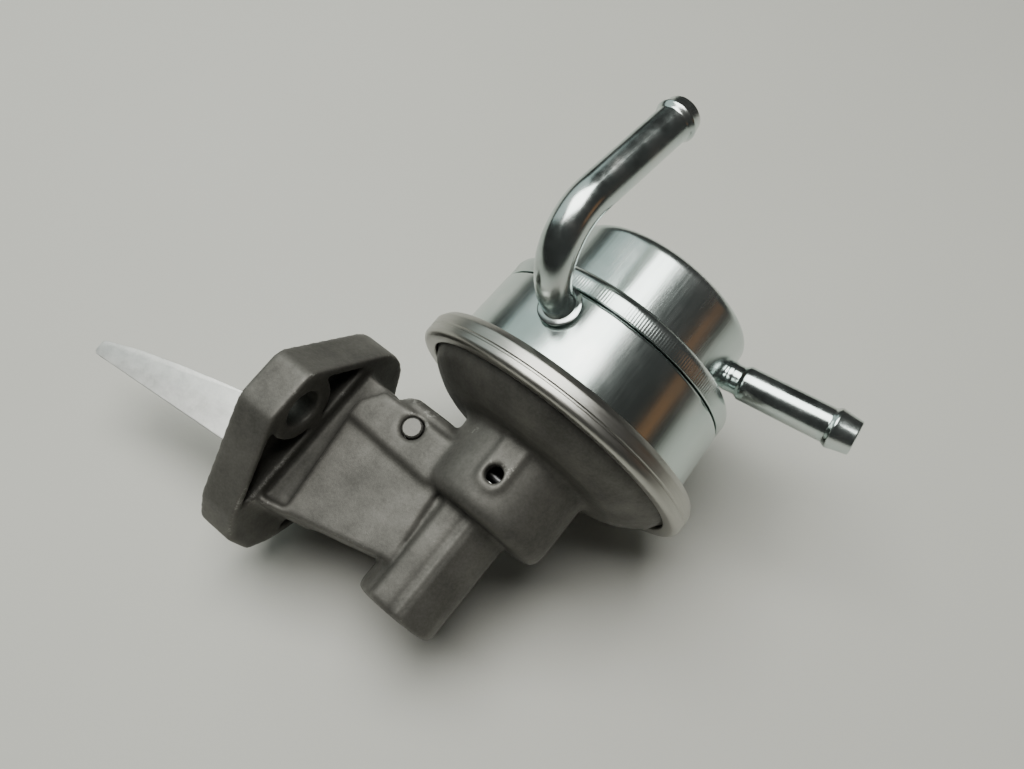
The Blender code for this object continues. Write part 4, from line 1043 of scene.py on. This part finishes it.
@dataclass(frozen=True)
class Eased:
    """A solid whose long outer edges are rounded over, as on a blasted stamping, in millimetres."""

    node: str
    slot: Slot
    width: float
    reach: float
    corner: float = math.radians(40)
    segments: int = 4

    def outer(self, edge: bmesh.types.BMEdge) -> bool:
        """Whether an edge is sharp and lies outside the casting.

        Args:
            edge: The edge.

        Returns:
            True if it is rounded over.
        """
        if not edge.is_manifold or edge.calc_face_angle() <= self.corner:
            return False
        return max(vert.co.x for vert in edge.verts) < self.reach * MILLIMETRE

    def build(self, finishes: Finishes) -> None:
        """Makes the copy with round edges and hides the solid.

        Args:
            finishes: The finishes.
        """
        edit = Shop.merged_copy(self.node)
        bmesh.ops.transform(edit, matrix=frame["nodes"][self.node].matrix_world, verts=edit.verts)
        bmesh.ops.dissolve_limit(edit, angle_limit=FLAT_ANGLE, verts=edit.verts, edges=edit.edges)
        edges = [edge for edge in edit.edges if self.outer(edge)]
        bmesh.ops.bevel(
            edit,
            geom=edges,
            offset=self.width * MILLIMETRE,
            offset_type="OFFSET",
            affect="EDGES",
            segments=self.segments,
            profile=0.5,
            material=-1,
            clamp_overlap=True,
        )
        piece = Shop.object(self.node + "_eased", edit)
        Shop.stand_for(piece, self.node, self.slot, finishes)
        log.info("%s with %d rounded edges", piece.name, len(edges))


@dataclass(frozen=True)
class Coil:
    """A hidden spring, copied as it stands, with its measures in millimetres."""

    node: str
    joint: str
    fixed_end: float
    travel: float

    def build(self, finishes: Finishes) -> None:
        """Makes a plain copy of the coil.

        Args:
            finishes: The finishes.
        """
        coil = Shop.object(self.node + "_coil", Shop.merged_copy(self.node))
        Shop.stand_for(coil, self.node, Slot.WIRE, finishes)
        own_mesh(coil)


COILS = (
    Coil("diaphragm_spring", "diaphragm_stroke", fixed_end=1.0, travel=3.0),
    Coil("arm_return_spring", "rocker_pivot", fixed_end=-28.1, travel=3.4),
    Coil("inlet_valve_spring", "inlet_valve_lift", fixed_end=24.7, travel=1.2),
    Coil("outlet_valve_spring", "outlet_valve_lift", fixed_end=32.89, travel=1.2),
)


@dataclass
class Membrane:
    """The rubber diaphragm, in sectors between the clamped rim and the plates, in millimetres."""

    axis: CanAxis
    sectors: int = 24
    sector_steps: int = 6
    clamp_radius: float = 26.2
    plate_radius: float = 18.8
    corners: Corners = (
        (2.1, -2.4, 0.0),
        (18.8, -2.4, 3.0),
        (22.5, -1.7, 3.0),
        (26.2, -2.4, 3.0),
        (31.9, -2.4, 0.0),
        (31.9, -1.8, 0.0),
        (26.2, -1.8, 3.0),
        (22.5, -1.1, 3.0),
        (18.8, -1.8, 3.0),
        (2.1, -1.8, 0.0),
    )

    def build(self, finishes: Finishes) -> None:
        """Makes every sector.

        Args:
            finishes: The finishes.
        """
        profile = Shop.softened(self.corners)
        share = FULL_TURN / self.sectors
        for number in range(self.sectors):
            edit = Shop.swept(profile, share, self.sector_steps)
            open_edges = [edge for edge in edit.edges if edge.is_boundary]
            bmesh.ops.holes_fill(edit, edges=open_edges, sides=0)
            bmesh.ops.recalc_face_normals(edit, faces=edit.faces)
            place = self.axis.place() @ Matrix.Rotation(number * share, 4, "Z")
            bmesh.ops.transform(edit, matrix=place, verts=edit.verts)
            sector = Shop.object(f"membrane_{number:02d}", edit)
            radial = place.to_3x3() @ Vector((math.cos(share / 2.0), math.sin(share / 2.0), 0.0))
            start = self.axis.point(radial, self.clamp_radius * MILLIMETRE, 0.0)
            end = self.axis.point(radial, self.plate_radius * MILLIMETRE, 0.0)
            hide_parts("diaphragm")
            finishes.dress(sector, Slot.RUBBER)
            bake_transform(sector)
        log.info("membrane in %d sectors", self.sectors)


@dataclass(frozen=True)
class Lamp:
    """A soft rectangular light, placed by its direction from the pump as the camera sees it."""

    name: str
    rise: float
    right: float
    up: float
    distance: float
    size: tuple[float, float]
    power: float
    colour: Colour


LAMPS = (
    Lamp("ceiling", 1.0, -0.10, 0.14, distance=0.70, size=(0.62, 0.50), power=6.9, colour=(1.0, 1.0, 0.955)),
    Lamp("wall", 0.62, -0.50, 0.60, distance=0.90, size=(0.90, 0.80), power=1.6, colour=(0.84, 1.0, 0.96)),
    Lamp("warm", 0.28, 0.90, -0.36, distance=0.80, size=(0.24, 0.16), power=0.026, colour=(1.0, 0.44, 0.15)),
)


@dataclass
class Studio:
    """The floor, the lamps, the dim room and the camera, with its lens and sensor in millimetres."""

    lens: float = 31.88
    sensor: float = 36.0
    eye: tuple[float, float, float] = (0.09254, -0.01674, 0.17962)
    look: tuple[float, float, float] = (-0.3104, 0.1967, -0.9300)
    up: tuple[float, float, float] = (-0.5580, 0.7544, 0.3458)
    clip_start: float = 0.005
    floor_size: float = 9.0
    floor_squares: int = 8
    floor_tilt: float = math.radians(13.0)
    paper_rough: float = 0.75
    paper_cloud: float = 6.0
    paper_fibre: float = 900.0
    paper_height: float = 0.00003
    paper: tuple[tuple[float, Colour], ...] = ((0.3, (0.60, 0.60, 0.555)), (0.7, (0.63, 0.63, 0.585)))
    room_colour: Colour = (0.50, 0.50, 0.48)
    room_strength: float = 0.09

    def camera(self) -> None:
        """Puts the camera at the photograph's place and angle."""
        forward = Vector(self.look).normalized()
        right = forward.cross(Vector(self.up)).normalized()
        upward = right.cross(forward)
        turn = Matrix((right, upward, -forward)).transposed().to_4x4()
        data = bpy.data.cameras.new("camera")
        data.lens = self.lens
        data.sensor_width = self.sensor
        data.clip_start = self.clip_start
        camera = bpy.data.objects.new("camera", data)
        bpy.context.scene.collection.objects.link(camera)
        camera.matrix_world = Matrix.Translation(self.eye) @ turn
        bpy.context.scene.camera = camera

    def floor(self) -> None:
        """Lays the pale floor under the ring and the lowest lobe of the flange."""
        low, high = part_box("crimp_ring")
        edit = bmesh.new()
        squares = self.floor_squares
        bmesh.ops.create_grid(edit, x_segments=squares, y_segments=squares, size=self.floor_size / 2.0)
        tilt = Matrix.Rotation(-self.floor_tilt, 4, "X")
        contact = Vector(((low.x + high.x) / 2.0, low.y, low.z))
        bmesh.ops.transform(edit, matrix=Matrix.Translation(contact) @ tilt, verts=edit.verts)
        floor = Shop.object("floor", edit)
        graph = Graph("floor_paper")
        graph.set(Roughness=self.paper_rough)
        graph.colour(graph.ramp(graph.noise(Grain.EVEN, self.paper_cloud), list(self.paper)))
        graph.bump(graph.noise(Grain.EVEN, self.paper_fibre), self.paper_height)
        floor.data.materials.append(graph.material)

    def spot(self, lamp: Lamp) -> Vector:
        """Where a lamp stands over the floor.

        Args:
            lamp: The lamp.

        Returns:
            Its spot in the shared frame.
        """
        normal = Vector((0.0, math.sin(self.floor_tilt), math.cos(self.floor_tilt)))
        away = Vector(self.up)
        away = (away - normal * away.dot(normal)).normalized()
        across = away.cross(normal)
        direction = (normal * lamp.rise + across * lamp.right + away * lamp.up).normalized()
        return self.aim() + direction * lamp.distance

    @staticmethod
    def aim() -> Vector:
        """The middle of the pump."""
        low, high = CAD_BOX
        return (Vector(low) + Vector(high)) / 2.0

    def shine(self, lamp: Lamp) -> None:
        """Adds a lamp that looks at the pump.

        Args:
            lamp: The lamp.
        """
        data = bpy.data.lights.new(lamp.name, "AREA")
        data.shape = "RECTANGLE"
        data.size, data.size_y = lamp.size
        data.energy = lamp.power
        data.color = lamp.colour
        light = bpy.data.objects.new(lamp.name, data)
        bpy.context.scene.collection.objects.link(light)
        spot = self.spot(lamp)
        towards = (self.aim() - spot).to_track_quat("-Z", "Y").to_matrix().to_4x4()
        light.matrix_world = Matrix.Translation(spot) @ towards

    def room(self) -> None:
        """Makes the dim room around."""
        world = bpy.data.worlds.new("room")
        world.use_nodes = True
        background = world.node_tree.nodes["Background"]
        background.inputs["Color"].default_value = (*self.room_colour, 1.0)
        background.inputs["Strength"].default_value = self.room_strength
        bpy.context.scene.world = world

    def build(self) -> None:
        """Makes the whole studio."""
        self.camera()
        self.floor()
        for lamp in LAMPS:
            self.shine(lamp)
        self.room()


def main() -> None:
    """Builds the studio and every sub-assembly in order."""
    logging.basicConfig(level=logging.INFO, format="%(name)s: %(message)s")
    Studio().build()
    finishes = Finishes()
    finishes.dress_solids()
    axis = CanAxis.from_frame()
    Cans(axis).build(finishes)
    Pipes(axis).build(finishes)
    Membrane(axis).build(finishes)
    for coil in COILS:
        coil.build(finishes)
    Softened("lower_body", Slot.CAST, cell=0.56, rounds=8).build(finishes)
    Eased("rocker_arm", Slot.MACHINED, width=1.2, reach=4.0).build(finishes)
    log.info("finishes on %d solids", len(frame["nodes"]))


if __name__ == "__main__":
    main()
